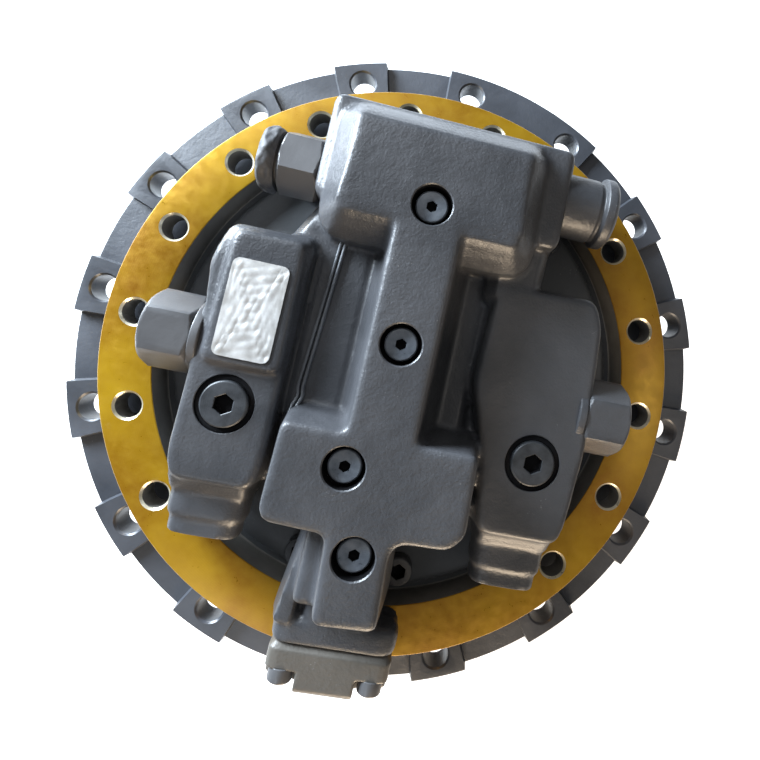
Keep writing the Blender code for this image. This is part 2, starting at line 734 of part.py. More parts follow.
# Drum
def sector(profile, start, end, steps):
    """Sweeps a profile of radii and heights between two angles."""
    rings = []
    for step in range(steps + 1):
        angle = start + (end - start) * step / steps
        rings.append([(*polar(radius, angle), z) for radius, z in profile])
    return loft(bmesh.new(), rings)


def make_hub():
    """The drum with the sprocket flange: raised pads round the holes and a long pad over two of them."""
    rib_r = BEARING_OUTER_R - DRUM_RIB
    bore_r = BEARING_OUTER_R + GAP
    outside = [
        (DRUM_R, COVER_DEPTH + GAP), (DRUM_R, SPROCKET_UNDER_Z - DRUM_FILLET),
        (DRUM_R + DRUM_FILLET, SPROCKET_UNDER_Z), (SPROCKET_FLANGE_R, SPROCKET_UNDER_Z),
        (SPROCKET_FLANGE_R, PAD_FACE_Z), (COLLAR_R, PAD_FACE_Z), (COLLAR_R, PAD_FACE_Z + COLLAR_RISE)]
    inside = [
        (SKIRT_R + RUNNING_GAP, PAD_FACE_Z + COLLAR_RISE), (SKIRT_R + RUNNING_GAP, SKIRT_Z - RUNNING_GAP),
        (bore_r, SKIRT_Z - RUNNING_GAP), (bore_r, BEARING_UPPER_Z - GAP), (rib_r, BEARING_UPPER_Z - GAP),
        (rib_r, BEARING_LOWER_TOP + GAP), (bore_r, BEARING_LOWER_TOP + GAP), (bore_r, COVER_DEPTH + GAP)]
    profile = outside + inside
    inner = range(len(outside), len(profile))
    hub = add("hub", turned(bmesh.new(), profile, RIM_SEGMENTS, inner=inner), CAST_PAINT)
    cutters = []
    pitch = math.tau / SPROCKET_HOLES
    step = [(PAD_INNER_R, PAD_FACE_Z - PAD_STEP), (SPROCKET_FLANGE_R - PAD_INSET, PAD_FACE_Z - PAD_STEP),
            (SPROCKET_FLANGE_R - PAD_INSET, SPROCKET_UNDER_Z - OVERRUN),
            (SPROCKET_FLANGE_R + OVERRUN, SPROCKET_UNDER_Z - OVERRUN),
            (SPROCKET_FLANGE_R + OVERRUN, PAD_FACE_Z + OVERRUN), (PAD_INNER_R, PAD_FACE_Z + OVERRUN)]
    for index in range(SPROCKET_HOLES):
        at = SPROCKET_PHASE + index * pitch
        where = Matrix.Translation((*polar(SPROCKET_PCR, at), 0))
        hole = disc(bmesh.new(), SPROCKET_HOLE_R, SPROCKET_UNDER_Z - OVERRUN, PAD_FACE_Z + OVERRUN,
                    HOLE_SEGMENTS, where)
        cutters.append(body(hole))
        if index != JOINED_PAD:
            start, end = at + PAD_ANGLE / 2, at + pitch - PAD_ANGLE / 2
            cutters.append(body(sector(step, start, end, RECESS_STEPS)))
    combine(hub, cutters, "DIFFERENCE")


def make_end_cover():
    """The dished cover that closes the gear end, with a spigot in the drum and a thrust boss inside."""
    spigot_r = BEARING_OUTER_R
    wall_r = spigot_r - COVER_SPIGOT_WALL
    profile = [
        (0, 0), (COVER_BOSS_R, 0), (BEARING_OUTER_R, COVER_DEPTH - COVER_RIM_T),
        (DRUM_R, COVER_DEPTH - COVER_RIM_T), (DRUM_R, COVER_DEPTH), (spigot_r, COVER_DEPTH),
        (spigot_r, SPIGOT_Z), (wall_r, SPIGOT_Z), (wall_r - COVER_WALL, COVER_FLOOR_Z),
        (THRUST_BOSS_R, COVER_FLOOR_Z), (THRUST_BOSS_R, COVER_DEPTH), (0, COVER_DEPTH)]
    cover = add("end_cover", turned(bmesh.new(), profile, RIM_SEGMENTS), CAST_PAINT)
    combine(cover, list(cover_bolts()) + list(cover_plugs()), "UNION")


def cover_bolt_angles():
    return [math.tau * (i + 0.5) / COVER_BOLTS for i in range(COVER_BOLTS)]


def cover_plug_angles():
    return [math.pi / 2 + math.tau * i / COVER_PLUGS for i in range(COVER_PLUGS)]


def cover_bolts():
    """Hexagon heads on the cover's rim."""
    seat = COVER_DEPTH - COVER_RIM_T
    for at in cover_bolt_angles():
        rings = [level(hexagon(COVER_BOLT_AF, BOLT_SIDES), z) for z in (seat - COVER_BOLT_HEAD, seat + GAP)]
        yield body(loft(bmesh.new(), rings, Matrix.Translation((*polar(COVER_BOLT_PCR, at), 0))))


def cover_plugs():
    """Fill, level and drain plugs on the cover's cone, below the rim."""
    for at in cover_plug_angles():
        ends = (COVER_PLUG_Z, COVER_DEPTH - COVER_RIM_T)
        rings = [level(hexagon(COVER_PLUG_AF, BOLT_SIDES), z) for z in ends]
        yield body(loft(bmesh.new(), rings, Matrix.Translation((*polar(COVER_PLUG_PCR, at), 0))))


def socket_plug(radius, length, socket, shank=None, grip=0.0):
    """Rings of a plug with a hexagon socket: its face is at zero and its body runs down from there."""
    count = HEX_SEGMENTS
    chamfer = PLUG_CHAMFER
    depth = length * SOCKET_DEPTH_SHARE
    rings = [[(0, 0, -depth)], level(hexagon(socket, count), -depth), level(hexagon(socket, count), 0),
             level(circle(radius - chamfer, count), 0), level(circle(radius, count), -chamfer),
             level(circle(radius, count), -length)]
    if shank:
        rings += [level(circle(shank, count), -length), level(circle(shank, count), -length - grip)]
    rings.append([(0, 0, -length - grip)])
    return rings


# Bearings, nut and floating seal
def make_bearing(name, low):
    """A roller bearing: two plain rings, and the rollers in their cage."""
    high = low + BEARING_WIDTH
    middle = (low + high) / 2
    ring = washer(bmesh.new(), BEARING_SEAT_R + GAP, BEARING_PCR - ROLLER_R - GAP, low, high, RING_SEGMENTS)
    add(f"{name}_bearing_inner_ring", ring, STEEL)
    ring = washer(bmesh.new(), BEARING_PCR + ROLLER_R + GAP, BEARING_OUTER_R, low, high, RING_SEGMENTS)
    add(f"{name}_bearing_outer_ring", ring, STEEL)
    cage = washer(bmesh.new(), BEARING_PCR - CAGE_T / 2, BEARING_PCR + CAGE_T / 2, middle - CAGE_WIDTH / 2,
                  middle + CAGE_WIDTH / 2, ROLLERS * CAGE_FACETS)
    combine(add(f"{name}_bearing_rollers", cage, STEEL), list(rollers(middle)), "UNION")


def rollers(middle):
    """The rollers that the cage holds."""
    half = BEARING_WIDTH / 2 - ROLLER_END_GAP
    for index in range(ROLLERS):
        at = math.tau * index / ROLLERS
        turn = Matrix.Rotation(at + math.pi / HOLE_SEGMENTS, 4, "Z")
        where = Matrix.Translation((*polar(BEARING_PCR, at), middle)) @ turn
        yield body(disc(bmesh.new(), ROLLER_R, -half, half, HOLE_SEGMENTS, where))


def make_bearing_nut():
    """The slotted nut that holds the bearings on the spindle."""
    high = BEARING_LOWER_Z - GAP
    outer_r = BEARING_SEAT_R + NUT_WALL
    outline = []
    half = NUT_SLOT_WIDTH / 2 / outer_r
    for slot in range(NUT_SLOTS):
        at = math.tau * slot / NUT_SLOTS
        following = at + math.tau / NUT_SLOTS
        outline += [polar(outer_r - NUT_SLOT_DEPTH, at - half), polar(outer_r - NUT_SLOT_DEPTH, at + half)]
        run = following - at - 2 * half
        outline += [polar(outer_r, at + half + run * i / NUT_ARC_STEPS) for i in range(NUT_ARC_STEPS + 1)]
    bore = circle(clear(BEARING_SEAT_R + GAP, RING_SEGMENTS), RING_SEGMENTS)
    add("bearing_nut", plate(bmesh.new(), [outline, bore], high - NUT_T, high), STEEL)


def make_seal():
    """Two lapped rings, one turning with the drum and one held under the frame flange."""
    lower_top = SKIRT_Z - RUNNING_GAP
    upper_z = lower_top + GAP
    pieces = (("lower", lower_top - SEAL_RING_T, lower_top), ("upper", upper_z, upper_z + SEAL_RING_T))
    for side, low, high in pieces:
        ring = washer(bmesh.new(), SEAL_INNER_R, BEARING_OUTER_R, low, high, RING_SEGMENTS)
        add(f"seal_ring_{side}", ring, STEEL)


# Spindle
def frame_hole_angles():
    return [FRAME_FIRST + FRAME_PITCH * i for i in range(FRAME_HOLES)]


def make_spindle():
    """The fixed side: frame flange, bearing seats, motor bore and the end that holds the planet pins."""
    outside = [
        (BEARING_SEAT_R, SPINDLE_Z), (BEARING_SEAT_R, BEARING_UPPER_TOP + GAP),
        (SPINDLE_NECK_R, BEARING_UPPER_TOP + GAP), (SPINDLE_NECK_R, WEB_Z),
        (SEAL_HOUSING_R, WEB_Z), (SEAL_HOUSING_R, SKIRT_Z), (SKIRT_R, SKIRT_Z),
        (SKIRT_R, FRAME_UNDER_Z), (FRAME_FLANGE_R, FRAME_UNDER_Z), (FRAME_FLANGE_R, FRAME_FACE_Z)]
    inside = [
        (POCKET_R, FRAME_FACE_Z), (POCKET_R, POCKET_Z), (MOTOR_BORE_R, POCKET_Z),
        (MOTOR_BORE_R, BRAKE_LEDGE_Z), (SWASH_BORE_R, BRAKE_LEDGE_Z), (SWASH_BORE_R, MOTOR_FLOOR_Z),
        (SPINDLE_SHAFT_BORE_R, MOTOR_FLOOR_Z), (SPINDLE_SHAFT_BORE_R, SPINDLE_Z)]
    inner = range(len(outside), len(outside + inside))
    shape = turned(bmesh.new(), outside + inside, RIM_SEGMENTS, inner=inner)
    spindle = add("spindle", shape, FLANGE_FACE)
    pin_top = SPINDLE_Z + PIN_2_GRIP
    combine(spindle, list(pins(PLANET_2_COUNT, PIN_2_R, CARRIER_2_PCR, GEAR_2_Z, pin_top)), "UNION")
    cutters = []
    for at in frame_hole_angles():
        where = Matrix.Translation((*polar(FRAME_PCR, at), 0))
        hole = disc(bmesh.new(), FRAME_HOLE_R, FRAME_UNDER_Z - OVERRUN, FRAME_FACE_Z + OVERRUN,
                    HOLE_SEGMENTS, where)
        cutters.append(body(hole))
    combine(spindle, cutters, "DIFFERENCE")


# Motor
def spline_angles():
    """Four angles for each straight key: root, tip, tip, root."""
    pitch = math.tau / SPLINE_KEYS
    return [pitch * (key + share) for key in range(SPLINE_KEYS) for share in SPLINE_SHARES]


def spline_outline(grow=0.0):
    radii = [SPLINE_ROOT_R, SPLINE_R, SPLINE_R, SPLINE_ROOT_R] * SPLINE_KEYS
    return [polar(radius + grow, at) for radius, at in zip(radii, spline_angles())]


def make_shaft():
    """The motor shaft: splined in the first sun gear and in the cylinder block."""
    def round_ring(radius, z):
        return level([polar(radius, at) for at in spline_angles()], z)

    rings = [
        level(spline_outline(), SHAFT_Z), level(spline_outline(), GEAR_1_TOP),
        round_ring(SHAFT_R, GEAR_1_TOP), round_ring(SHAFT_R, SPINDLE_Z),
        round_ring(JOURNAL_R, SPINDLE_Z), round_ring(JOURNAL_R, MOTOR_FLOOR_Z),
        round_ring(SHAFT_R, MOTOR_FLOOR_Z), round_ring(SHAFT_R, BLOCK_Z), level(spline_outline(), BLOCK_Z),
        level(spline_outline(), BLOCK_TOP), round_ring(HEAD_JOURNAL_R, BLOCK_TOP),
        round_ring(HEAD_JOURNAL_R, HEAD_Z + HEAD_JOURNAL)]
    add("motor_shaft", loft(bmesh.new(), rings), STEEL)
    bearing = washer(bmesh.new(), JOURNAL_R + GAP, SPINDLE_SHAFT_BORE_R - GAP, SPINDLE_Z, MOTOR_FLOOR_Z - GAP,
                     SMALL_SEGMENTS)
    add("shaft_bearing", bearing, STEEL)
    thrust = disc(bmesh.new(), THRUST_BOSS_R, COVER_DEPTH + GAP, SHAFT_Z - GAP, SMALL_SEGMENTS)
    add("thrust_pad", thrust, BRONZE)


def piston_angles():
    return [math.tau * i / PISTONS for i in range(PISTONS)]


def pistons():
    """Each piston with its shoe, which the retainer plate holds on the swash plate."""
    shoe_top = SHOE_Z + SHOE_T
    top = BLOCK_Z + BLOCK_BORE_DEPTH - PISTON_R
    for at in piston_angles():
        where = Matrix.Translation((*polar(PISTON_PCR, at), 0))
        rings = [level(circle(radius, HOLE_SEGMENTS), z)
                 for radius, z in ((SHOE_R, SHOE_Z), (SHOE_R, shoe_top),
                                   (PISTON_R, shoe_top), (PISTON_R, top))]
        yield body(loft(bmesh.new(), rings, where))


def make_rotating_group():
    """Swash plate, shoes with their pistons, retainer, cylinder block and valve plate."""
    swash = washer(bmesh.new(), SWASH_HOLE_R, SWASH_R, SWASH_Z, SWASH_Z + SWASH_T, RING_SEGMENTS)
    add("swash_plate", swash, STEEL)
    low = SHOE_Z + SHOE_T - RETAINER_T / 2
    retainer = washer(bmesh.new(), SWASH_HOLE_R, RETAINER_R, low, low + RETAINER_T, RING_SEGMENTS)
    combine(add("pistons", retainer, STEEL), list(pistons()), "UNION")
    block = plate(bmesh.new(), [circle(BLOCK_R, RING_SEGMENTS), spline_outline(GAP)], BLOCK_Z, BLOCK_TOP)
    block = add("cylinder_block", block, BRONZE)
    bores = []
    for at in piston_angles():
        where = Matrix.Translation((*polar(PISTON_PCR, at), 0))
        bore_r = clear(PISTON_R + GAP, HOLE_SEGMENTS)
        bore = disc(bmesh.new(), bore_r, BLOCK_Z - OVERRUN, BLOCK_Z + BLOCK_BORE_DEPTH, HOLE_SEGMENTS, where)
        bores.append(body(bore))
    combine(block, bores, "DIFFERENCE")
    kidneys = [circle(VALVE_PLATE_R, RING_SEGMENTS), circle(SPLINE_R + GAP, SMALL_SEGMENTS)]
    for middle in (0, math.pi):
        half_width = PISTON_R / 2
        arc = [middle + KIDNEY_HALF_ANGLE * share for share in KIDNEY_SHARES]
        kidneys.append([polar(PISTON_PCR + half_width, at) for at in arc]
                       + [polar(PISTON_PCR - half_width, at) for at in reversed(arc)])
    add("valve_plate", plate(bmesh.new(), kidneys, VALVE_PLATE_Z, POCKET_Z), BRONZE)


def make_brake():
    """The parking brake: lined discs on the block, plates in the spindle, piston and disc spring."""
    for index in range(2 * BRAKE_DISCS):
        lined = index % 2 == 1
        inner_r = BLOCK_R + GAP if lined else BRAKE_PLATE_INNER_R
        outer_r = BRAKE_DISC_R if lined else MOTOR_BORE_R - GAP
        low = BRAKE_LEDGE_Z + GAP + BRAKE_PITCH * index
        ring = washer(bmesh.new(), inner_r, outer_r, low, low + BRAKE_DISC_T, RING_SEGMENTS)
        name = f"brake_disc_{index // 2 + 1}" if lined else f"brake_plate_{index // 2 + 1}"
        add(name, ring, FRICTION if lined else STEEL)
    top = BRAKE_PISTON_Z + BRAKE_PISTON_T
    piston = washer(bmesh.new(), BRAKE_PISTON_INNER_R, MOTOR_BORE_R - GAP, BRAKE_PISTON_Z, top, RING_SEGMENTS)
    add("brake_piston", piston, STEEL)
    outer_r = MOTOR_BORE_R - BRAKE_SPRING_T
    inner_r = BRAKE_PISTON_INNER_R + BRAKE_SPRING_T
    profile = [(outer_r, top + GAP), (outer_r, top + GAP + BRAKE_SPRING_T),
               (inner_r, POCKET_Z), (inner_r, POCKET_Z - BRAKE_SPRING_T)]
    add("brake_spring", turned(bmesh.new(), profile, RING_SEGMENTS), STEEL)


# Valve head
def head_blocks():
    """The cast masses of the head, each with its own draft, from the base up."""
    base = rounded(box_outline(-LOBE_OUTER_X, LOBE_OUTER_X, LOBE_LOW_Y, LOBE_HIGH_Y), CAST_CORNER)
    middle = box_outline(LOBE_LEFT_INNER_X, LOBE_RIGHT_INNER_X, LOW_BLOCK_LOW_Y, TOP_TIER_LOW_Y)
    yield body(disc(bmesh.new(), HEAD_BASE_R, HEAD_Z, HEAD_Z + HEAD_BASE_T, RING_SEGMENTS))
    for at in HEAD_BOLT_ANGLES:
        where = Matrix.Translation((*polar(HEAD_BOLT_PCR, at), 0))
        bolt_top = HEAD_Z + HEAD_BASE_T + HEAD_BOLT_HEAD
        yield body(disc(bmesh.new(), HEAD_BOLT_HEAD_R, HEAD_Z + GAP, bolt_top, HOLE_SEGMENTS, where))
    yield cast_block(base, BLOCK_START_Z, VALLEY_TOP - CAST_CORNER)
    yield cast_block(rounded(middle, CAST_CORNER), BLOCK_START_Z, VALLEY_TOP)
    column = box_outline(-COLUMN_HALF_WIDTH, COLUMN_HALF_WIDTH, FOOT_END_Y, COLUMN_END_Y)
    yield cast_block(column, VALLEY_TOP - CAST_CORNER, COLUMN_TOP, draft=COLUMN_DRAFT)
    low = box_outline(-LOW_BLOCK_HALF_WIDTH, LOW_BLOCK_HALF_WIDTH, LOW_BLOCK_LOW_Y, LOW_BLOCK_HIGH_Y)
    yield cast_block(rounded(low, CAST_CORNER), BLOCK_START_Z, COLUMN_TOP)
    yield from top_block()
    yield from lobes()
    yield from foot()
    half = RIDGE_WIDTH / 2
    edge = CAST_EDGE / 2
    ridge = box_outline(RIDGE_X - half, RIDGE_X + half, LOW_BLOCK_HIGH_Y, RIDGE_HIGH_Y)
    yield cast_block(ridge, VALLEY_TOP - CAST_CORNER, VALLEY_TOP + RIDGE_RISE, draft=edge, edge=edge)


def top_block():
    """The counterbalance valve's block: a flat top with a wide sloping shoulder over a lower tier."""
    tier = box_outline(-TOP_TIER_LEFT_X, TOP_TIER_RIGHT_X, TOP_TIER_LOW_Y, TOP_TIER_HIGH_Y)
    yield cast_block(rounded(tier, CAST_CORNER), BLOCK_START_Z, TOP_TIER_TOP)
    top = [(-TOP_BLOCK_HALF_WIDTH, TOP_BLOCK_LOW_Y), (TOP_BLOCK_HALF_WIDTH, TOP_BLOCK_LOW_Y),
           (TOP_BLOCK_HALF_WIDTH, TOP_BLOCK_HIGH_Y), (-TOP_BLOCK_HALF_WIDTH, TOP_BLOCK_HIGH_Y)]
    slope = TOP_TIER_HIGH_Y - TOP_BLOCK_HIGH_Y - CAST_EDGE
    skirt = [(-TOP_BLOCK_HALF_WIDTH - slope, TOP_BLOCK_LOW_Y),
             (TOP_BLOCK_HALF_WIDTH + slope, TOP_BLOCK_LOW_Y),
             (TOP_BLOCK_HALF_WIDTH + slope, TOP_BLOCK_HIGH_Y + slope),
             (-TOP_BLOCK_HALF_WIDTH - slope, TOP_BLOCK_HIGH_Y + slope)]
    rings = [level(skirt, VALLEY_TOP), level(skirt, TOP_TIER_TOP - CAST_EDGE), level(top, COLUMN_TOP)]
    yield body(loft(bmesh.new(), rings))


def lobes():
    """The side valve lobes, with the raised pad for the plate and the port bosses below them."""
    left = rounded(box_outline(-LOBE_OUTER_X, LOBE_LEFT_INNER_X, LOBE_FLAT_Y, LOBE_HIGH_Y), CAST_CORNER)
    yield cast_block(left, BLOCK_START_Z, LOBE_TOP)
    outer = LOBE_OUTER_X + LOBE_SHIFT_X
    right = [(LOBE_RIGHT_LOW_X, LOBE_FLAT_Y), (outer, LOBE_FLAT_Y), (outer + LOBE_BULGE, SIDE_VALVE_Y),
             (outer, LOBE_HIGH_Y), (LOBE_RIGHT_INNER_X, LOBE_HIGH_Y), (LOBE_RIGHT_INNER_X, LOW_BLOCK_HIGH_Y)]
    yield cast_block(rounded(right, CAST_CORNER), BLOCK_START_Z, LOBE_TOP)
    pad = centred_box(PLATE_PAD_X, PLATE_PAD_Y, PLATE_PAD_WIDTH, PLATE_PAD_HEIGHT)
    yield cast_block(pad, LOBE_TOP - CAST_EDGE, PAD_TOP, draft=CAST_EDGE, edge=CAST_EDGE / 2)
    for side in (-1, 1):
        yield lobe_end(side * PORT_X)
        for step, end in ((0, PORT_BOSS_END_Y), (PORT_LIP_STEP, PORT_LIP_END_Y)):
            yield port_boss(side * PORT_X, step, end)
        arm = centred_box(side * (SIDE_VALVE_FACE_X - SIDE_VALVE_COLLAR), SIDE_VALVE_Y,
                          2 * SIDE_VALVE_COLLAR, 2 * SIDE_VALVE_COLLAR_R)
        low = SIDE_VALVE_Z - SIDE_VALVE_COLLAR_R + CAST_EDGE
        yield cast_block(arm, low, SIDE_VALVE_Z + SIDE_VALVE_COLLAR_R / 2)


def lobe_end(x):
    """The end of a lobe over its port: a gentle slope and a steep facet down to the port boss."""
    side = [(LOBE_FLAT_Y + CAST_CORNER, LOBE_TOP - CAST_EDGE / 2), (LOBE_FLAT_Y, LOBE_TOP - CAST_EDGE / 2),
            (LOBE_LOW_Y, LOBE_TOP - LOBE_SLOPE_DROP), (LOBE_END_Y, LOBE_TOP - LOBE_END_DROP),
            (LOBE_END_Y, BLOCK_START_Z), (LOBE_FLAT_Y + CAST_CORNER, BLOCK_START_Z)]
    half = PORT_BOSS_WIDTH / 2 - GAP
    return body(loft(bmesh.new(), [[(x + share * half, y, z) for y, z in side] for share in (-1, 1)]))


def port_boss(x, step, end):
    """A boss round a port, flat enough to clear the frame face, with rounded corners."""
    width = PORT_BOSS_WIDTH - 2 * step
    face = rounded(centred_box(0, 0, width, PORT_BOSS_HEIGHT - 2 * step), PORT_BOSS_CORNER)
    rings = [level(face, end - PORT_BOSS_START_Y), level(face, 0)]
    return body(loft(bmesh.new(), rings, place((x, end, PORT_Z), (0, -1, 0))))


def centred_box(x, y, width, height):
    return box_outline(x - width / 2, x + width / 2, y - height / 2, y + height / 2)


def foot():
    """The two-speed valve's arm and the flange that its end cover closes."""
    arm = box_outline(FOOT_ARM_LEFT_X, FOOT_X + FOOT_HALF_WIDTH + HEAD_DRAFT, FOOT_FLANGE_Y - CAST_EDGE,
                      LOW_BLOCK_LOW_Y)
    yield cast_block(arm, BLOCK_START_Z, FOOT_ARM_TOP)
    width = 2 * FOOT_FLANGE_HALF_WIDTH
    height = FOOT_FLANGE_TOP - FOOT_FLANGE_BOTTOM
    face = rounded(centred_box(0, 0, width, height), CAST_CORNER)
    where = place((FOOT_X, FOOT_FACE_Y, (FOOT_FLANGE_TOP + FOOT_FLANGE_BOTTOM) / 2), (0, -1, 0))
    depth = FOOT_FLANGE_Y - FOOT_FACE_Y
    rings = [level(offset(face, -CAST_CORNER / 2), -depth - CAST_CORNER), level(face, -depth), level(face, 0)]
    yield body(loft(bmesh.new(), rings, where))


def head_cutters():
    """What is bored and milled in the head: spools, ports, plugs, screws and the shaft's journal."""
    ring = [(POCKET_R - HEAD_POCKET_CLEARANCE, POCKET_Z - OVERRUN), (SPROCKET_FLANGE_R, POCKET_Z - OVERRUN),
            (SPROCKET_FLANGE_R, FRAME_FACE_Z + GAP), (POCKET_R - HEAD_POCKET_CLEARANCE, FRAME_FACE_Z + GAP)]
    yield body(turned(bmesh.new(), ring, RING_SEGMENTS))
    yield bore((0, 0, HEAD_Z - OVERRUN), (0, 0, 1), HEAD_JOURNAL_R + GAP, OVERRUN + HEAD_JOURNAL + 2 * GAP)
    for side in (-1, 1):
        yield bore((side * PORT_X, PORT_LIP_END_Y - OVERRUN, PORT_Z), (0, 1, 0), PORT_R, PORT_DEPTH + OVERRUN)
        yield bore((side * (SIDE_VALVE_FACE_X + OVERRUN), SIDE_VALVE_Y, SIDE_VALVE_Z), (-side, 0, 0),
                   CAP_SPOTFACE_R, OVERRUN)
        yield bore((side * (SIDE_VALVE_FACE_X + OVERRUN), SIDE_VALVE_Y, SIDE_VALVE_Z), (-side, 0, 0),
                   SIDE_VALVE_SHANK_R + GAP, SIDE_VALVE_GRIP + OVERRUN + GAP)
        yield bore((side * GAUGE_PLUG_X, GAUGE_PLUG_Y, LOBE_TOP + OVERRUN), (0, 0, -1), GAUGE_SPOTFACE_R,
                   OVERRUN + GAUGE_SPOTFACE)
        yield bore((side * GAUGE_PLUG_X, GAUGE_PLUG_Y, LOBE_TOP), (0, 0, -1), GAUGE_PLUG_THREAD_R + GAP,
                   GAUGE_SPOTFACE + GAUGE_PLUG_GRIP + 2 * GAP)
    cap_face = -TOP_TIER_LEFT_X
    yield bore((cap_face - OVERRUN, SPOOL_Y, SPOOL_Z), (1, 0, 0), CAP_SPOTFACE_R, OVERRUN)
    yield bore((TOP_TIER_RIGHT_X + OVERRUN, RIGHT_CAP_Y, SPOOL_Z), (-1, 0, 0), CAP_SPOTFACE_R, OVERRUN)
    yield bore((cap_face - OVERRUN, SPOOL_Y, SPOOL_Z), (1, 0, 0), LEFT_CAP_THREAD_R + GAP,
               OVERRUN + LEFT_CAP_GRIP + GAP)
    yield bore((cap_face, SPOOL_Y, SPOOL_Z), (1, 0, 0), SPOOL_R + GAP, SPOOL_BORE_END_X - cap_face)
    yield bore((TOP_TIER_RIGHT_X + OVERRUN, RIGHT_CAP_Y, SPOOL_Z), (-1, 0, 0), RIGHT_CAP_THREAD_R + GAP,
               OVERRUN + RIGHT_CAP_GRIP + GAP)
    yield bore((FOOT_X, FOOT_FACE_Y - OVERRUN, SPEED_SPOOL_Z), (0, 1, 0), SPEED_SPOOL_R + GAP,
               SPEED_BORE_DEPTH + OVERRUN)
    for x, z in end_screw_places():
        yield bore((x, FOOT_FACE_Y - OVERRUN, z), (0, 1, 0), END_SCREW_R + GAP, END_SCREW_GRIP + OVERRUN)
    for x, y in PASSAGE_PLUGS:
        depth = PLUG_SINK + PLUG_LENGTH + GAP
        yield bore((x, y, COLUMN_TOP + OVERRUN), (0, 0, -1), PLUG_COUNTERBORE_R, OVERRUN + PLUG_SINK)
        yield bore((x, y, COLUMN_TOP), (0, 0, -1), PLUG_R + GAP, depth)


def bore(start, direction, radius, depth):
    """A cutter for a round hole from its mouth inward."""
    where = place(start, direction)
    return body(disc(bmesh.new(), clear(radius, HOLE_SEGMENTS), 0, depth, HOLE_SEGMENTS, where))


def end_screw_places():
    middle = (FOOT_FLANGE_TOP + FOOT_FLANGE_BOTTOM) / 2
    return [(FOOT_X + side * END_SCREW_X, middle + rise * END_SCREW_Z)
            for side in (-1, 1) for rise in (-1, 1)]


def make_head():
    blocks = head_blocks()
    head = next(blocks)
    head.name = "valve_head"
    head.data.name = "valve_head"
    combine(head, list(blocks), "UNION")
    combine(head, list(head_cutters()), "DIFFERENCE")
    head.name = "valve_head"


def make_head_plugs():
    """Gauge plugs on the lobes and passage plugs along the column."""
    for side, name in ((-1, "left"), (1, "right")):
        seat = LOBE_TOP - GAUGE_SPOTFACE + GAP
        rings = socket_plug(GAUGE_PLUG_R, GAUGE_PLUG_HEAD, GAUGE_SOCKET_AF,
                            GAUGE_PLUG_THREAD_R, GAUGE_PLUG_GRIP)
        where = place((side * GAUGE_PLUG_X, GAUGE_PLUG_Y, seat + GAUGE_PLUG_HEAD))
        add(f"gauge_plug_{name}", loft(bmesh.new(), rings, where), PLUG_STEEL)
    for number, (x, y) in enumerate(PASSAGE_PLUGS, 1):
        rings = socket_plug(PLUG_R, PLUG_LENGTH, PLUG_SOCKET_AF)
        add(f"passage_plug_{number}", loft(bmesh.new(), rings), PLUG_STEEL, (x, y, COLUMN_TOP - PLUG_SINK))


def make_side_valves():
    """The relief valve cartridges, screwed in from both sides, with a flat of the hexagon up."""
    for side, name in ((-1, "left"), (1, "right")):
        count = HEX_SEGMENTS
        half_turn = math.pi / 6
        chamfer = SIDE_VALVE_HEX_CHAMFER
        end = SIDE_VALVE_COLLAR + SIDE_VALVE_HEX
        rings = [level(circle(SIDE_VALVE_SHANK_R, count, half_turn), -SIDE_VALVE_GRIP),
                 level(circle(SIDE_VALVE_SHANK_R, count, half_turn), GAP),
                 level(circle(SIDE_VALVE_AF / 2, count, half_turn), GAP),
                 level(circle(SIDE_VALVE_AF / 2, count, half_turn), SIDE_VALVE_COLLAR),
                 level(hexagon(SIDE_VALVE_AF, count, half_turn), SIDE_VALVE_COLLAR),
                 level(hexagon(SIDE_VALVE_AF, count, half_turn), end - chamfer),
                 level(circle(SIDE_VALVE_AF / 2 - chamfer, count, half_turn), end)]
        where = hex_place((side * SIDE_VALVE_FACE_X, SIDE_VALVE_Y, SIDE_VALVE_Z), side)
        add(f"relief_valve_{name}", loft(bmesh.new(), rings, where), PLUG_STEEL)


def hex_place(at, side):
    """A frame along X whose own X points up."""
    turn = Matrix(((0, 0, side), (0, side, 0), (1, 0, 0))).to_4x4()
    return Matrix.Translation(Vector(at)) @ turn


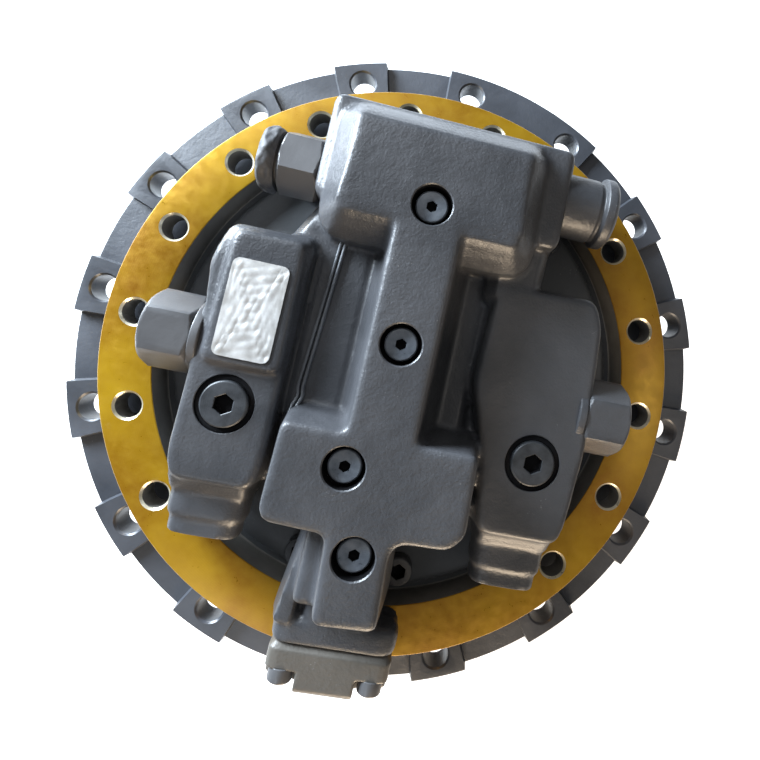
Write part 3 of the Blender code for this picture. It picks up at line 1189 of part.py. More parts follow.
def make_counterbalance_valve():
    """The spool across the top block, its spring and the caps at both ends."""
    add_spool("counterbalance_spool", SPOOL_R, SPOOL_WAIST_R, SPOOL_LENGTH,
              (SPOOL_CENTRE_X, SPOOL_Y, SPOOL_Z), (1, 0, 0))
    count = HEX_SEGMENTS
    start = LEFT_CAP_RIM_LIFT
    rings = [level(circle(LEFT_CAP_THREAD_R, count), -LEFT_CAP_GRIP),
             level(circle(LEFT_CAP_THREAD_R, count), GAP),
             level(hexagon(LEFT_CAP_AF, count), GAP), level(hexagon(LEFT_CAP_AF, count), LEFT_CAP_HEX),
             level(circle(LEFT_CAP_RIM_R, count), LEFT_CAP_HEX + start),
             level(circle(LEFT_CAP_RIM_R, count), LEFT_CAP_HEX + LEFT_CAP_RIM),
             level(circle(LEFT_CAP_RIM_R - start, count), LEFT_CAP_HEX + LEFT_CAP_RIM + start)]
    cap = loft(bmesh.new(), rings, hex_place((-TOP_TIER_LEFT_X, SPOOL_Y, SPOOL_Z), -1))
    add("counterbalance_cap", cap, PLUG_STEEL)
    rings = [level(circle(RIGHT_CAP_THREAD_R, count), -RIGHT_CAP_GRIP),
             level(circle(RIGHT_CAP_THREAD_R, count), GAP),
             level(circle(RIGHT_CAP_R, count), GAP), level(circle(RIGHT_CAP_R, count), RIGHT_CAP_LENGTH),
             level(circle(RIGHT_CAP_RIM_R, count), RIGHT_CAP_LENGTH),
             level(circle(RIGHT_CAP_RIM_R, count), RIGHT_CAP_LENGTH + RIGHT_CAP_RIM - start),
             level(circle(RIGHT_CAP_RIM_R - start, count), RIGHT_CAP_LENGTH + RIGHT_CAP_RIM)]
    cap = loft(bmesh.new(), rings, hex_place((TOP_TIER_RIGHT_X, RIGHT_CAP_Y, SPOOL_Z), 1))
    add("shuttle_valve_cap", cap, PLUG_STEEL)
    spring_start = -TOP_TIER_LEFT_X + LEFT_CAP_GRIP + GAP
    spring_end = SPOOL_CENTRE_X - SPOOL_LENGTH / 2 - GAP
    spring = coil(SPOOL_R - 2 * SPRING_WIRE_R, spring_end - spring_start)
    add_along("counterbalance_spring", spring, PLUG_STEEL, (spring_start, SPOOL_Y, SPOOL_Z), (1, 0, 0))


def add_along(name, rings, look, at, direction):
    """Adds a lofted piece whose own axis is laid along a direction."""
    return add(name, loft(bmesh.new(), rings, axis_to(direction)), look, at)


def add_spool(name, radius, waist, length, at, direction):
    """A spool with three lands, its origin at its middle."""
    land = length / SPOOL_LANDS
    rings = []
    for index in range(SPOOL_LANDS):
        reach = waist if index % 2 else radius
        start = -length / 2 + land * index
        rings += [level(circle(reach, HOLE_SEGMENTS), start),
                  level(circle(reach, HOLE_SEGMENTS), start + land)]
    add_along(name, rings, STEEL, at, direction)


def coil(radius, length):
    """Rings of a wire wound about +Z from zero to the length."""
    rings = []
    run = length - 2 * SPRING_WIRE_R
    steps = SPRING_TURNS * SPRING_TURN_POINTS
    for step in range(steps + 1):
        turn = math.tau * step / SPRING_TURN_POINTS
        height = SPRING_WIRE_R + run * step / steps
        ring = []
        for rim, rise in circle(SPRING_WIRE_R, SPRING_SIDES):
            ring.append((*polar(radius + rim, turn), height + rise))
        rings.append(ring)
    return rings


def make_two_speed_valve():
    """The spool in the foot, its spring, and the end cover with its screws."""
    middle_y = FOOT_FACE_Y + SPEED_BORE_DEPTH - SPEED_SPOOL_TRAVEL - GAP - SPEED_SPOOL_LENGTH / 2
    add_spool("two_speed_spool", SPEED_SPOOL_R, SPEED_SPOOL_WAIST_R, SPEED_SPOOL_LENGTH,
              (FOOT_X, middle_y, SPEED_SPOOL_Z), (0, 1, 0))
    spring_start = FOOT_FACE_Y
    spring_end = middle_y - SPEED_SPOOL_LENGTH / 2 - GAP
    spring = coil(SPEED_SPOOL_R - 2 * SPRING_WIRE_R, spring_end - spring_start)
    add_along("two_speed_spring", spring, PLUG_STEEL, (FOOT_X, spring_start, SPEED_SPOOL_Z), (0, 1, 0))
    middle_z = (FOOT_FLANGE_TOP + FOOT_FLANGE_BOTTOM) / 2
    outline = rounded(centred_box(0, 0, 2 * FOOT_FLANGE_HALF_WIDTH, FOOT_FLANGE_TOP - FOOT_FLANGE_BOTTOM),
                      CAST_CORNER)
    where = place((FOOT_X, FOOT_FACE_Y - GAP, middle_z), (0, -1, 0))
    rings = [level(outline, 0), level(outline, END_COVER_DEPTH - CAST_EDGE),
             level(offset(outline, -CAST_EDGE), END_COVER_DEPTH)]
    cover = add("foot_cover", loft(bmesh.new(), rings, where), CAST_PAINT)
    holes = []
    seat = FOOT_FACE_Y - GAP - END_COVER_T
    for number, (x, z) in enumerate(end_screw_places(), 1):
        holes.append(bore((x, seat - OVERRUN, z), (0, 1, 0), END_SCREW_R + GAP, END_COVER_T + 2 * OVERRUN))
        rings = socket_plug(END_SCREW_HEAD_R, END_SCREW_HEAD, END_SCREW_R, END_SCREW_R,
                            END_COVER_T + END_SCREW_GRIP - OVERRUN)
        where = place((x, seat - GAP - END_SCREW_HEAD, z), (0, -1, 0))
        add(f"foot_cover_screw_{number}", loft(bmesh.new(), rings, where), STEEL)
        holes.append(end_notch(x, z, seat))
    combine(cover, holes, "DIFFERENCE")


def end_notch(x, z, seat):
    """A cutter for a corner of the end cover, where a screw's head sits on the thinner flange."""
    side = math.copysign(1, x - FOOT_X)
    rise = math.copysign(1, z - (FOOT_FLANGE_TOP + FOOT_FLANGE_BOTTOM) / 2)
    outward = 2 * FOOT_FLANGE_HALF_WIDTH
    across = sorted((x - side * END_SCREW_ROOM, x + side * outward))
    upright = sorted((z - rise * END_SCREW_ROOM, z + rise * outward))
    outline = rounded(box_outline(*across, *upright), END_NOTCH_CORNER)
    near = [(px, seat, pz) for px, pz in outline]
    far = [(px, seat - END_COVER_DEPTH, pz) for px, pz in outline]
    return body(loft(bmesh.new(), [near, far]))


def make_nameplate():
    """The blank plate on the left lobe."""
    flat = centred_box(PLATE_PAD_X, NAMEPLATE_Y, NAMEPLATE_WIDTH, NAMEPLATE_HEIGHT)
    outline = rounded(flat, NAMEPLATE_CORNER)
    rings = [level(outline, PAD_TOP + GAP), level(outline, PAD_TOP + GAP + NAMEPLATE_T)]
    add("nameplate", loft(bmesh.new(), rings), FOIL)


make_hub()
make_end_cover()
make_ring_gear()
make_first_stage()
make_second_stage()
make_bearing("lower", BEARING_LOWER_Z)
make_bearing("upper", BEARING_UPPER_Z)
make_bearing_nut()
make_seal()
make_spindle()
make_shaft()
make_rotating_group()
make_brake()
make_head()
make_head_plugs()
make_side_valves()
make_counterbalance_valve()
make_two_speed_valve()
make_nameplate()
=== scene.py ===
# %% [markdown]
# # An excavator final drive, seen from its motor side
# The drive turns one track of an excavator. Its motor and valve head sit in the middle of a fixed spindle,
# and a drum with a sprocket flange turns round them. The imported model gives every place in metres, so this
# lesson only replaces the plain solids with finer surfaces and gives each metal its finish.

# %% Load the frame
import json
import math

import bmesh
import bpy
import numpy as np
from mathutils import Matrix, Vector


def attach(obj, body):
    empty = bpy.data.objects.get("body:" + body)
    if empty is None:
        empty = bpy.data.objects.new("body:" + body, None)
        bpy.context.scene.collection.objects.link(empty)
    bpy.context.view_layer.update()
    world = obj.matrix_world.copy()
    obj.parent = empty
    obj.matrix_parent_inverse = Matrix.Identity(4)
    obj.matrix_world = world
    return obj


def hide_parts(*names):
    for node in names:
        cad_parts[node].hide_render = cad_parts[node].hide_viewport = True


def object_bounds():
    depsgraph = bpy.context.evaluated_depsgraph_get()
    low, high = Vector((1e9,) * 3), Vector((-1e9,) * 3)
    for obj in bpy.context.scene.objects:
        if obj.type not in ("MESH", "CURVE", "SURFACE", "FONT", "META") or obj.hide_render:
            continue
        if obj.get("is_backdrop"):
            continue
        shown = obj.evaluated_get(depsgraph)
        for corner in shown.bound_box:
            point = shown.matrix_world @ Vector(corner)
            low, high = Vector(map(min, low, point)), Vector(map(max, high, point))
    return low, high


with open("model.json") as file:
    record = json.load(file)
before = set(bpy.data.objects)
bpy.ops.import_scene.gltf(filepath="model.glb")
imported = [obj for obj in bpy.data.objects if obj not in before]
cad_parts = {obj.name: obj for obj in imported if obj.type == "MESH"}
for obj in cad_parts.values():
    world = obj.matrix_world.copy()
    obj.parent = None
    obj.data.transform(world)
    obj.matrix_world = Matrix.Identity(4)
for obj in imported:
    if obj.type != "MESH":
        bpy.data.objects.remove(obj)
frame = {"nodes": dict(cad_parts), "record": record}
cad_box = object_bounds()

MM = 0.001
LEFT, RIGHT, FRONT, UP, DOWN = (-1, 0, 0), (1, 0, 0), (0, -1, 0), (0, 0, 1), (0, 0, -1)


def new_object(name, data):
    """An object of some data, linked into the scene."""
    made = bpy.data.objects.new(name, data)
    bpy.context.scene.collection.objects.link(made)
    return made


def set_inputs(node, **values):
    """Sets inputs of a shader node; underscores in their names stand for spaces."""
    for label, value in values.items():
        node.inputs[label.replace("_", " ")].default_value = value


# %% [markdown]
# ## The camera
# The photograph was taken by hand from close above the drive. Its holes lie on known circles, so the place
# of the lens and its three axes were worked out from them and are written here as numbers. A small shift
# moves the picture to where the photograph was cropped.

# %% Camera
CAMERA_AT = Vector((0.2, 26.4, 699.3)) * MM
CAMERA_RIGHT = Vector((0.9706, 0.2087, 0.1200))
CAMERA_UP = Vector((-0.2167, 0.9746, 0.0574))
camera_data = bpy.data.cameras.new("camera")
camera_data.lens = 26.6
camera_data.sensor_width = 36
camera_data.shift_x = -0.1237
camera_data.shift_y = -0.1066
camera_data.clip_start = 0.01
camera = new_object("camera", camera_data)
right = CAMERA_RIGHT.normalized()
back = right.cross(CAMERA_UP).normalized()
axes = Matrix((right, back.cross(right), back)).transposed()
camera.matrix_world = Matrix.Translation(CAMERA_AT) @ axes.to_4x4()
bpy.context.scene.camera = camera
bpy.context.scene.view_settings.view_transform = "Standard"
print("camera", tuple(round(v, 3) for v in camera.location))

# %% [markdown]
# ## Light
# The photograph has a large window on the left, a paler ceiling, a door and a wall that only show in
# glossy slopes, and a warm floor below the picture. Five area lamps stand for them.

# %% Lamps
AIM = Vector((0, 0, 0.25))


def lamp(name, at, size, power, colour):
    """A square area lamp that looks at the middle of the drive."""
    data = bpy.data.lights.new(name, "AREA")
    data.size = size
    data.energy = power
    data.color = colour
    made = new_object(name, data)
    made.location = at
    made.rotation_euler = (AIM - Vector(at)).to_track_quat("-Z", "Y").to_euler()


lamp("window", (-1.18, 0.70, 0.66), 0.7, 104, (0.78, 0.89, 1.0))
lamp("ceiling", (-0.60, 0.95, 1.80), 0.9, 4.5, (0.93, 0.96, 1.0))
lamp("open_door", (-0.50, -1.36, 1.70), 0.4, 3, (0.82, 0.90, 1.0))
lamp("far_wall", (1.05, -0.05, 1.9), 0.5, 1.8, (1.0, 0.93, 0.84))
lamp("warm_floor", (0.40, -1.45, 0.58), 0.7, 26, (1.0, 0.80, 0.58))

# %% [markdown]
# ## Shared effects
# Cast iron under paint is never even: the sand leaves a fine grain, the paint pools into lighter and darker
# patches, and dust lies on it. Machined steel has fine rings from the lathe instead. Each effect is a node
# group, so the materials share it with different values, and their shaders stay outside it.

# %% Node groups
def node_group(name, inputs, outputs):
    """An empty shader group with float inputs (name: value) and float outputs."""
    tree = bpy.data.node_groups.new(name, "ShaderNodeTree")
    for label, value in inputs.items():
        socket = tree.interface.new_socket(name=label, in_out="INPUT", socket_type="NodeSocketFloat")
        socket.default_value = value
    for label in outputs:
        tree.interface.new_socket(name=label, in_out="OUTPUT", socket_type="NodeSocketFloat")
    return tree, tree.nodes.new("NodeGroupInput"), tree.nodes.new("NodeGroupOutput")


def feed(tree, value, socket):
    """Gives a socket a number or a colour, or links another socket to it."""
    if isinstance(value, (int, float, tuple)):
        socket.default_value = value
    else:
        tree.links.new(value, socket)


def noise(tree, vector, scale, detail, rough=0.55):
    """A noise texture on the given vector; scale is in features per metre, a number or a socket."""
    node = tree.nodes.new("ShaderNodeTexNoise")
    set_inputs(node, Detail=detail, Roughness=rough)
    tree.links.new(vector, node.inputs["Vector"])
    feed(tree, scale, node.inputs["Scale"])
    return node.outputs["Fac"]


def maths(tree, operation, first, second=0.0):
    """One arithmetic step between sockets or numbers."""
    node = tree.nodes.new("ShaderNodeMath")
    node.operation = operation
    for socket, value in zip(node.inputs, (first, second)):
        feed(tree, value, socket)
    return node.outputs[0]


def ramp(tree, value, low, high, to_low=0.0, to_high=1.0):
    """Stretches the part of a value between low and high over another range, clamped."""
    node = tree.nodes.new("ShaderNodeMapRange")
    set_inputs(node, From_Min=low, From_Max=high, To_Min=to_low, To_Max=to_high)
    tree.links.new(value, node.inputs["Value"])
    return node.outputs[0]


def make_cast_skin():
    """Grain: fine noise plus coarser lumps as a height. Tone: slow noise. Dust: sparse light specks."""
    tree, start, end = node_group(
        "cast_skin", {"Grain per metre": 420, "Patch per metre": 16}, ("Height", "Tone", "Dust"))
    place = tree.nodes.new("ShaderNodeTexCoord").outputs["Object"]
    fine = noise(tree, place, start.outputs["Grain per metre"], 4, 0.6)
    lumps = noise(tree, place, 130, 2)
    height = maths(tree, "ADD", maths(tree, "MULTIPLY", fine, 0.6), maths(tree, "MULTIPLY", lumps, 0.9))
    tree.links.new(height, end.inputs["Height"])
    tree.links.new(ramp(tree, noise(tree, place, start.outputs["Patch per metre"], 5), 0.35, 0.68),
                   end.inputs["Tone"])
    specks = ramp(tree, noise(tree, place, 900, 1), 0.70, 0.75)
    areas = ramp(tree, noise(tree, place, 34, 3), 0.58, 0.68)
    tree.links.new(maths(tree, "MULTIPLY", specks, areas), end.inputs["Dust"])
    return tree


def make_lathe_rings():
    """Rings: a wave over the distance from the Z axis, broken up by noise. Stain: slow cloudy patches."""
    tree, start, end = node_group("lathe_rings", {"Rings per metre": 900, "Stain per metre": 14},
                                  ("Height", "Stain", "Streak"))
    place = tree.nodes.new("ShaderNodeTexCoord").outputs["Object"]
    split = tree.nodes.new("ShaderNodeSeparateXYZ")
    tree.links.new(place, split.inputs[0])
    square = maths(tree, "ADD", maths(tree, "MULTIPLY", split.outputs[0], split.outputs[0]),
                   maths(tree, "MULTIPLY", split.outputs[1], split.outputs[1]))
    radius = maths(tree, "SQRT", square)
    per_metre = maths(tree, "MULTIPLY", start.outputs["Rings per metre"], math.tau)
    turns = maths(tree, "MULTIPLY", radius, per_metre)
    wobble = maths(tree, "MULTIPLY", noise(tree, place, 60, 2), 6)
    tree.links.new(maths(tree, "SINE", maths(tree, "ADD", turns, wobble)), end.inputs["Height"])
    tree.links.new(ramp(tree, noise(tree, place, start.outputs["Stain per metre"], 6, 0.6), 0.34, 0.7),
                   end.inputs["Stain"])
    tree.links.new(ramp(tree, noise(tree, place, 120, 4, 0.7), 0.3, 0.75), end.inputs["Streak"])
    return tree


cast_skin = make_cast_skin()
lathe_rings = make_lathe_rings()
print("groups", [g.name for g in (cast_skin, lathe_rings)])

# %% [markdown]
# ## Finishes
# Every finish is one shader with two or three colours mixed by the groups' masks. The paint is a blue grey
# semi-gloss over cast iron. The frame face wears a golden rust preventive, thin enough for the turned steel
# to shine through. Plugs are oiled dark steel, and the blank plate is crumpled foil.

# %% Materials
def mix_colours(tree, mask, first, second):
    """A colour mix by a mask; each colour is three numbers or a socket."""
    node = tree.nodes.new("ShaderNodeMix")
    node.data_type = "RGBA"
    tree.links.new(mask, node.inputs["Factor"])
    for socket, colour in zip(node.inputs[6:8], (first, second)):
        feed(tree, (*colour, 1) if isinstance(colour, tuple) else colour, socket)
    return node.outputs[2]


def new_material(name, metallic, coat=0.0):
    """A material with its shader, ready for colour, roughness and bump."""
    made = bpy.data.materials.new(name)
    made.use_nodes = True
    shader = made.node_tree.nodes["Principled BSDF"]
    set_inputs(shader, Metallic=metallic, Coat_Weight=coat, Coat_Roughness=0.25)
    return made, made.node_tree, shader


def use_group(tree, group, **values):
    """Places a group in a material, with values for its inputs."""
    node = tree.nodes.new("ShaderNodeGroup")
    node.node_tree = group
    set_inputs(node, **values)
    return node.outputs


def dress(tree, shader, colour, roughness, height, strength, depth):
    """Feeds a shader's colour, roughness and normal; depth is the bump's depth in millimetres."""
    node = tree.nodes.new("ShaderNodeBump")
    set_inputs(node, Strength=strength, Distance=depth * MM)
    tree.links.new(height, node.inputs["Height"])
    for value, label in ((colour, "Base Color"), (roughness, "Roughness"), (node.outputs[0], "Normal")):
        tree.links.new(value, shader.inputs[label])


def cast_finish(name, dark, light, gloss, grain=420, depth=0.35, coat=0.15):
    """Painted cast iron: patches between two greys, pale dust, and sand grain in the bump."""
    made, tree, shader = new_material(name, 0.0, coat)
    skin = use_group(tree, cast_skin, Grain_per_metre=grain)
    patches = mix_colours(tree, skin["Tone"], dark, light)
    dusted = mix_colours(tree, skin["Dust"], patches, (0.20, 0.20, 0.20))
    roughness = ramp(tree, skin["Tone"], 0, 1, gloss, gloss + 0.14)
    dress(tree, shader, dusted, roughness, skin["Height"], 0.5, depth)
    return made


def turned_finish(name, dark, light, metallic, gloss, rings=900, stain=14):
    """Machined metal: lathe rings in the bump, cloudy stains in the colour and the roughness."""
    made, tree, shader = new_material(name, metallic)
    marks = use_group(tree, lathe_rings, Rings_per_metre=rings, Stain_per_metre=stain)
    clouds = mix_colours(tree, marks["Stain"], dark, light)
    roughness = ramp(tree, marks["Streak"], 0, 1, gloss, gloss + 0.16)
    dress(tree, shader, clouds, roughness, marks["Height"], 0.35, 0.03)
    return made


def golden_finish():
    """The frame face: gold over turned steel, amber where the film is thick, chalky where it has dried."""
    made, tree, shader = new_material("golden_face", 0.5, 0.18)
    marks = use_group(tree, lathe_rings, Rings_per_metre=700, Stain_per_metre=11)
    place = tree.nodes.new("ShaderNodeTexCoord").outputs["Object"]
    gold = mix_colours(tree, marks["Stain"], (0.28, 0.12, 0.003), (0.52, 0.31, 0.010))
    streaks = ramp(tree, marks["Streak"], 0.2, 1.0, 0.0, 0.35)
    streaked = mix_colours(tree, streaks, gold, (0.44, 0.27, 0.018))
    chalk = ramp(tree, noise(tree, place, 21, 5, 0.65), 0.66, 0.82, 0.0, 0.5)
    chalked = mix_colours(tree, chalk, streaked, (0.58, 0.47, 0.24))
    roughness = ramp(tree, marks["Streak"], 0, 1, 0.26, 0.46)
    dress(tree, shader, chalked, roughness, marks["Height"], 0.3, 0.02)
    return made


def foil_finish():
    """Crumpled foil: a bright metal whose creases are a rough noise, with bare dots of dried glue."""
    made, tree, shader = new_material("crumpled_foil", 0.45)
    place = tree.nodes.new("ShaderNodeTexCoord").outputs["Object"]
    folds = noise(tree, place, 160, 3, 0.5)
    dull = ramp(tree, noise(tree, place, 90, 3), 0.40, 0.66)
    greys = mix_colours(tree, dull, (0.74, 0.74, 0.73), (0.52, 0.51, 0.49))
    dress(tree, shader, greys, ramp(tree, folds, 0.3, 0.7, 0.30, 0.46), folds, 0.35, 0.35)
    return made


looks = {
    "cast_paint": cast_finish("painted_iron", (0.042, 0.044, 0.049), (0.070, 0.072, 0.079), 0.32,
                              grain=620, depth=1.1),
    "flange_paint": cast_finish("flange_paint", (0.042, 0.046, 0.055), (0.076, 0.082, 0.097), 0.34,
                                depth=0.5),
    "pocket_paint": cast_finish("pocket_paint", (0.052, 0.056, 0.061), (0.084, 0.090, 0.096), 0.42),
    # a lighter copy of the grey paint: painted window light on the left hexagons, painted highlights on the
    # foot screws
    "painted_light_grey": cast_finish("painted_light_grey", (0.074, 0.074, 0.078), (0.108, 0.108, 0.112), 0.30, depth=0.3),
    # a lighter copy of the paint for the seam's ridges: painted light in the shaded valley
    "painted_light_seam": cast_finish("painted_light_seam", (0.085, 0.090, 0.100), (0.15, 0.16, 0.175), 0.40, depth=1.2),
    # a tan copy of the grey paint: painted warm light from the floor below on the foot cover
    "painted_warm_light": cast_finish("painted_warm_light", (0.088, 0.080, 0.069), (0.125, 0.114, 0.099), 0.38, depth=0.9),
    "rough_collar": cast_finish("rough_collar", (0.030, 0.030, 0.032), (0.10, 0.10, 0.105), 0.50,
                                grain=260, depth=1.6, coat=0.0),
    # near-black painted shade for hex sockets, counterbore and spot face walls, ports and the seal grooves
    "painted_shade_black": cast_finish("painted_shade_black", (0.003, 0.003, 0.004), (0.008, 0.008, 0.009), 0.75,
                                coat=0.0),
    "friction_lining": cast_finish("fibre_lining", (0.07, 0.055, 0.04), (0.13, 0.11, 0.08), 0.7, grain=900),
    "flange_face": golden_finish(),
    "bare_steel": turned_finish("bare_steel", (0.17, 0.16, 0.145), (0.30, 0.285, 0.26), 0.3, 0.40),
    # pale steel far lighter than the bare steel: a painted highlight on the machined chamfers
    "chamfer_highlight": turned_finish("chamfer_highlight", (0.60, 0.52, 0.34), (0.85, 0.80, 0.66), 0.6, 0.24),
    "steel": turned_finish("turned_steel", (0.30, 0.30, 0.30), (0.48, 0.48, 0.47), 1.0, 0.3, rings=500),
    "gear_steel": turned_finish("ground_steel", (0.24, 0.25, 0.26), (0.38, 0.39, 0.40), 1.0, 0.24,
                                rings=1300),
    "bronze": turned_finish("cast_bronze", (0.36, 0.21, 0.08), (0.55, 0.36, 0.15), 1.0, 0.3, rings=700),
    "plug_steel": turned_finish("oiled_plug", (0.022, 0.024, 0.027), (0.060, 0.065, 0.073), 0.1, 0.36,
                                stain=90),
    "plug_face": turned_finish("plug_face", (0.13, 0.15, 0.18), (0.27, 0.30, 0.34), 0.3, 0.26, stain=120),
    "foil": foil_finish(),
}
# weaker reflection on the near-black, which deepens the painted shade
set_inputs(looks["painted_shade_black"].node_tree.nodes["Principled BSDF"], Specular_IOR_Level=0.12)
for part in frame["record"]["subparts"]:
    node = frame["nodes"][part["node"]]
    node.data.materials.clear()
    node.data.materials.append(looks[part["material_slot"]])
print("finishes", len(looks))

# %% [markdown]
# ## From rings of points to a mesh
# A turned or cast part is a stack of rings. Each ring is a row of points, and the next ring has as many, so
# one numpy grid holds the whole surface and its quads come from the grid's own indices. The last ring meets
# the first on a ring-shaped part. Otherwise flat caps close the two ends.

# %% Grids of points
WELD = 0.002 * MM


def make_piece(name, grids, look, body, stands_for=(), sharp=32, wraps=False):
    """Joins grids of rings into one object and tells the frame what it rides on and stands for.

    Quad = ring i and i + 1 at point j and j + 1. If wraps, the last ring meets the first. Points that meet
    are welded, and the faces are turned outwards.
    """
    points, faces, start = [], [], 0
    for rings in grids:
        count, around = rings.shape[:2]
        index = start + np.arange(count * around).reshape(count, around)
        lower = index if wraps else index[:-1]
        upper = np.roll(index, -1, axis=0) if wraps else index[1:]
        quads = np.stack([lower, np.roll(lower, -1, 1), np.roll(upper, -1, 1), upper], axis=-1)
        faces += quads.reshape(-1, 4).tolist()
        if not wraps:
            faces += [index[0][::-1].tolist(), index[-1].tolist()]
        points.append(rings.reshape(-1, 3))
        start += count * around
    mesh = bpy.data.meshes.new(name)
    mesh.from_pydata(np.concatenate(points).tolist(), [], faces)
    tidy_mesh(mesh)
    piece = new_object(name, mesh)
    mesh.materials.append(looks[look])
    shade(mesh, sharp)
    if body:
        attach(piece, body)
    if stands_for:
        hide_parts(*stands_for)
    return piece


def tidy_mesh(mesh):
    """Welds points that meet and turns every closed shell outwards."""
    work = bmesh.new()
    work.from_mesh(mesh)
    bmesh.ops.remove_doubles(work, verts=work.verts, dist=WELD)
    bmesh.ops.recalc_face_normals(work, faces=work.faces)
    work.to_mesh(mesh)
    work.free()


def shade(mesh, sharp):
    """Smooth shading that keeps edges steeper than the given degrees crisp."""
    mesh.polygons.foreach_set("use_smooth", np.ones(len(mesh.polygons), dtype=bool))
    mesh.set_sharp_from_angle(angle=math.radians(sharp))


def apply_modifiers(piece):
    """Replaces the mesh by what its modifiers make of it."""
    graph = bpy.context.evaluated_depsgraph_get()
    done = bpy.data.meshes.new_from_object(piece.evaluated_get(graph), depsgraph=graph)
    old, piece.data = piece.data, done
    piece.modifiers.clear()
    bpy.data.meshes.remove(old)


def carve(piece, grids, sharp=32):
    """Cuts closed grids out of a piece with an exact boolean."""
    cutter = make_piece(piece.name + "_cutter", grids, "painted_shade_black", None)
    cut = piece.modifiers.new("cut", "BOOLEAN")
    cut.operation = "DIFFERENCE"
    cut.solver = "EXACT"
    cut.object = cutter
    apply_modifiers(piece)
    mesh = cutter.data
    bpy.data.objects.remove(cutter)
    bpy.data.meshes.remove(mesh)
    shade(piece.data, sharp)


def softened(profile, radius, steps=4):
    """Rounds the inner corners of an open row of (distance, height) points, in millimetres.

    Each corner becomes a parabola: (1 - t)^2 A + 2 t (1 - t) corner + t^2 B, where A and B lie one radius,
    or half the side if that is less, before and after the corner.
    """
    corners = np.array(profile, dtype=float)
    before, middle, after = corners[:-2], corners[1:-1], corners[2:]
    to_before, to_after = before - middle, after - middle
    long_before = np.linalg.norm(to_before, axis=1, keepdims=True)
    long_after = np.linalg.norm(to_after, axis=1, keepdims=True)
    first = middle + to_before / long_before * np.minimum(radius, long_before / 2.05)
    last = middle + to_after / long_after * np.minimum(radius, long_after / 2.05)
    t = np.linspace(0, 1, steps + 1)[None, :, None]
    arcs = (1 - t) ** 2 * first[:, None] + 2 * t * (1 - t) * middle[:, None] + t ** 2 * last[:, None]
    return np.vstack([corners[:1], arcs.reshape(-1, 2), corners[-1:]])


def softened_loop(profile, radius, steps=4):
    """The same for a closed outline: the row is carried on past its ends, then trimmed."""
    corners = np.array(profile, dtype=float)
    wrapped = np.vstack([corners[-1:], corners, corners[:1]])
    return softened(wrapped, radius, steps)[1:-1]


def angles(count):
    """Even angles round a circle, in radians."""
    return np.arange(count) * math.tau / count


def turned(profile, around=96):
    """A surface of revolution: x = r cos a, y = r sin a, z = h, for a profile of (r, h) in millimetres."""
    row = np.array(profile)[:, None, :]
    a = around if isinstance(around, np.ndarray) else angles(around)
    return np.stack([row[..., 0] * np.cos(a), row[..., 0] * np.sin(a), row[..., 1] + 0 * a], axis=-1) * MM


def stand(grid, at, direction=UP):
    """Turns a grid's z axis to a direction and moves its origin to a place in millimetres."""
    turn = np.array(Vector(UP).rotation_difference(Vector(direction)).to_matrix())
    return grid @ turn.T + np.array(at) * MM


def circle_places(radius, count, first, pitch):
    """Places of holes on a bolt circle: first angle and pitch in degrees."""
    a = np.radians(first + pitch * np.arange(count))
    return np.stack([radius * np.cos(a), radius * np.sin(a)], axis=-1)


washer_rows = softened_loop([(4, 0), (8, 0), (8, 2), (4, 2)], 0.3)
print("a plain washer has rings and points", turned(washer_rows).shape[:2])

# %% [markdown]
# ## The drum and its sprocket flange
# The sprocket bolts to sixteen raised pads, and the flange between them is a little lower and smaller. Two
# whole profiles are written, one through a pad and one through a recess, with as many points. The surface
# at an angle is a blend of the two, and the blend's share changes within a fraction of a degree, which
# gives the steep little steps that the photograph shows.

# %% Drum
FLANGE_R, PAD_Z, UNDER_Z, DRUM_R, PAD_FOOT_R = 249.5, 239.0, 215.0, 198.0, 210.0
SPROCKET_PCR, SPROCKET_HOLES, SPROCKET_FIRST = 232.0, 16, -2.73
SPROCKET_HOLE_R, SPROCKET_CHAMFER = 10.0, 1.3
PAD_HALF, PAD_BLEND, JOINED = 5.1, 0.16, 3
RECESS_DEPTH, RECESS_INSET = 5.5, 3
HOLE_STEP = 360 / SPROCKET_HOLES


def drum_profile(step, inset):
    """The drum's section, from its lower edge outwards and back down the bore."""
    top = PAD_Z - step
    edge = FLANGE_R - inset
    outside = [(174.5, 30.3), (DRUM_R, 30.3), (DRUM_R, UNDER_Z - 9), (DRUM_R + 3, UNDER_Z - 3),
               (DRUM_R + 9, UNDER_Z), (edge, UNDER_Z), (edge, top), (PAD_FOOT_R, top),
               (PAD_FOOT_R - 1, PAD_Z), (204.0, PAD_Z), (204.0, 250.0)]
    inside = [(179.6, 250.0), (179.6, 229.6), (174.4, 229.6), (174.4, 195.7), (166.0, 195.7),
              (166.0, 178.3), (174.4, 178.3)]
    return softened_loop(outside + inside, 1.6, 3)


def drum_angles():
    """Degrees round the rim: even steps, and close pairs where a pad begins or ends."""
    even = np.arange(0, HOLE_STEP, HOLE_STEP / 12)
    last = HOLE_STEP - PAD_HALF
    edges = np.array([PAD_HALF - PAD_BLEND, PAD_HALF + PAD_BLEND, last - PAD_BLEND, last + PAD_BLEND])
    one = np.unique(np.concatenate([even, edges]))
    one = one[np.concatenate([[True], np.diff(one) > 0.1])]
    return (np.arange(SPROCKET_HOLES)[:, None] * HOLE_STEP + one).ravel()


def pad_share(degrees):
    """1 on a pad and 0 in a recess; the long pad covers the recess after hole JOINED."""
    in_step = degrees % HOLE_STEP
    away = np.minimum(in_step, HOLE_STEP - in_step)
    share = np.clip((PAD_HALF + 0.1 - away) / 0.2, 0, 1)
    return np.where(degrees // HOLE_STEP == JOINED, 1.0, share)


def hole_cutters(places, radius, low, high, chamfer):
    """Round cutters with a countersink at both ends; (radius, height) rows stood on each place."""
    profile = [(radius + chamfer + 1, low - 1), (radius, low + chamfer), (radius, high - chamfer),
               (radius + chamfer + 1, high + 1)]
    return [stand(turned(profile, 40), (x, y, 0)) for x, y in places]


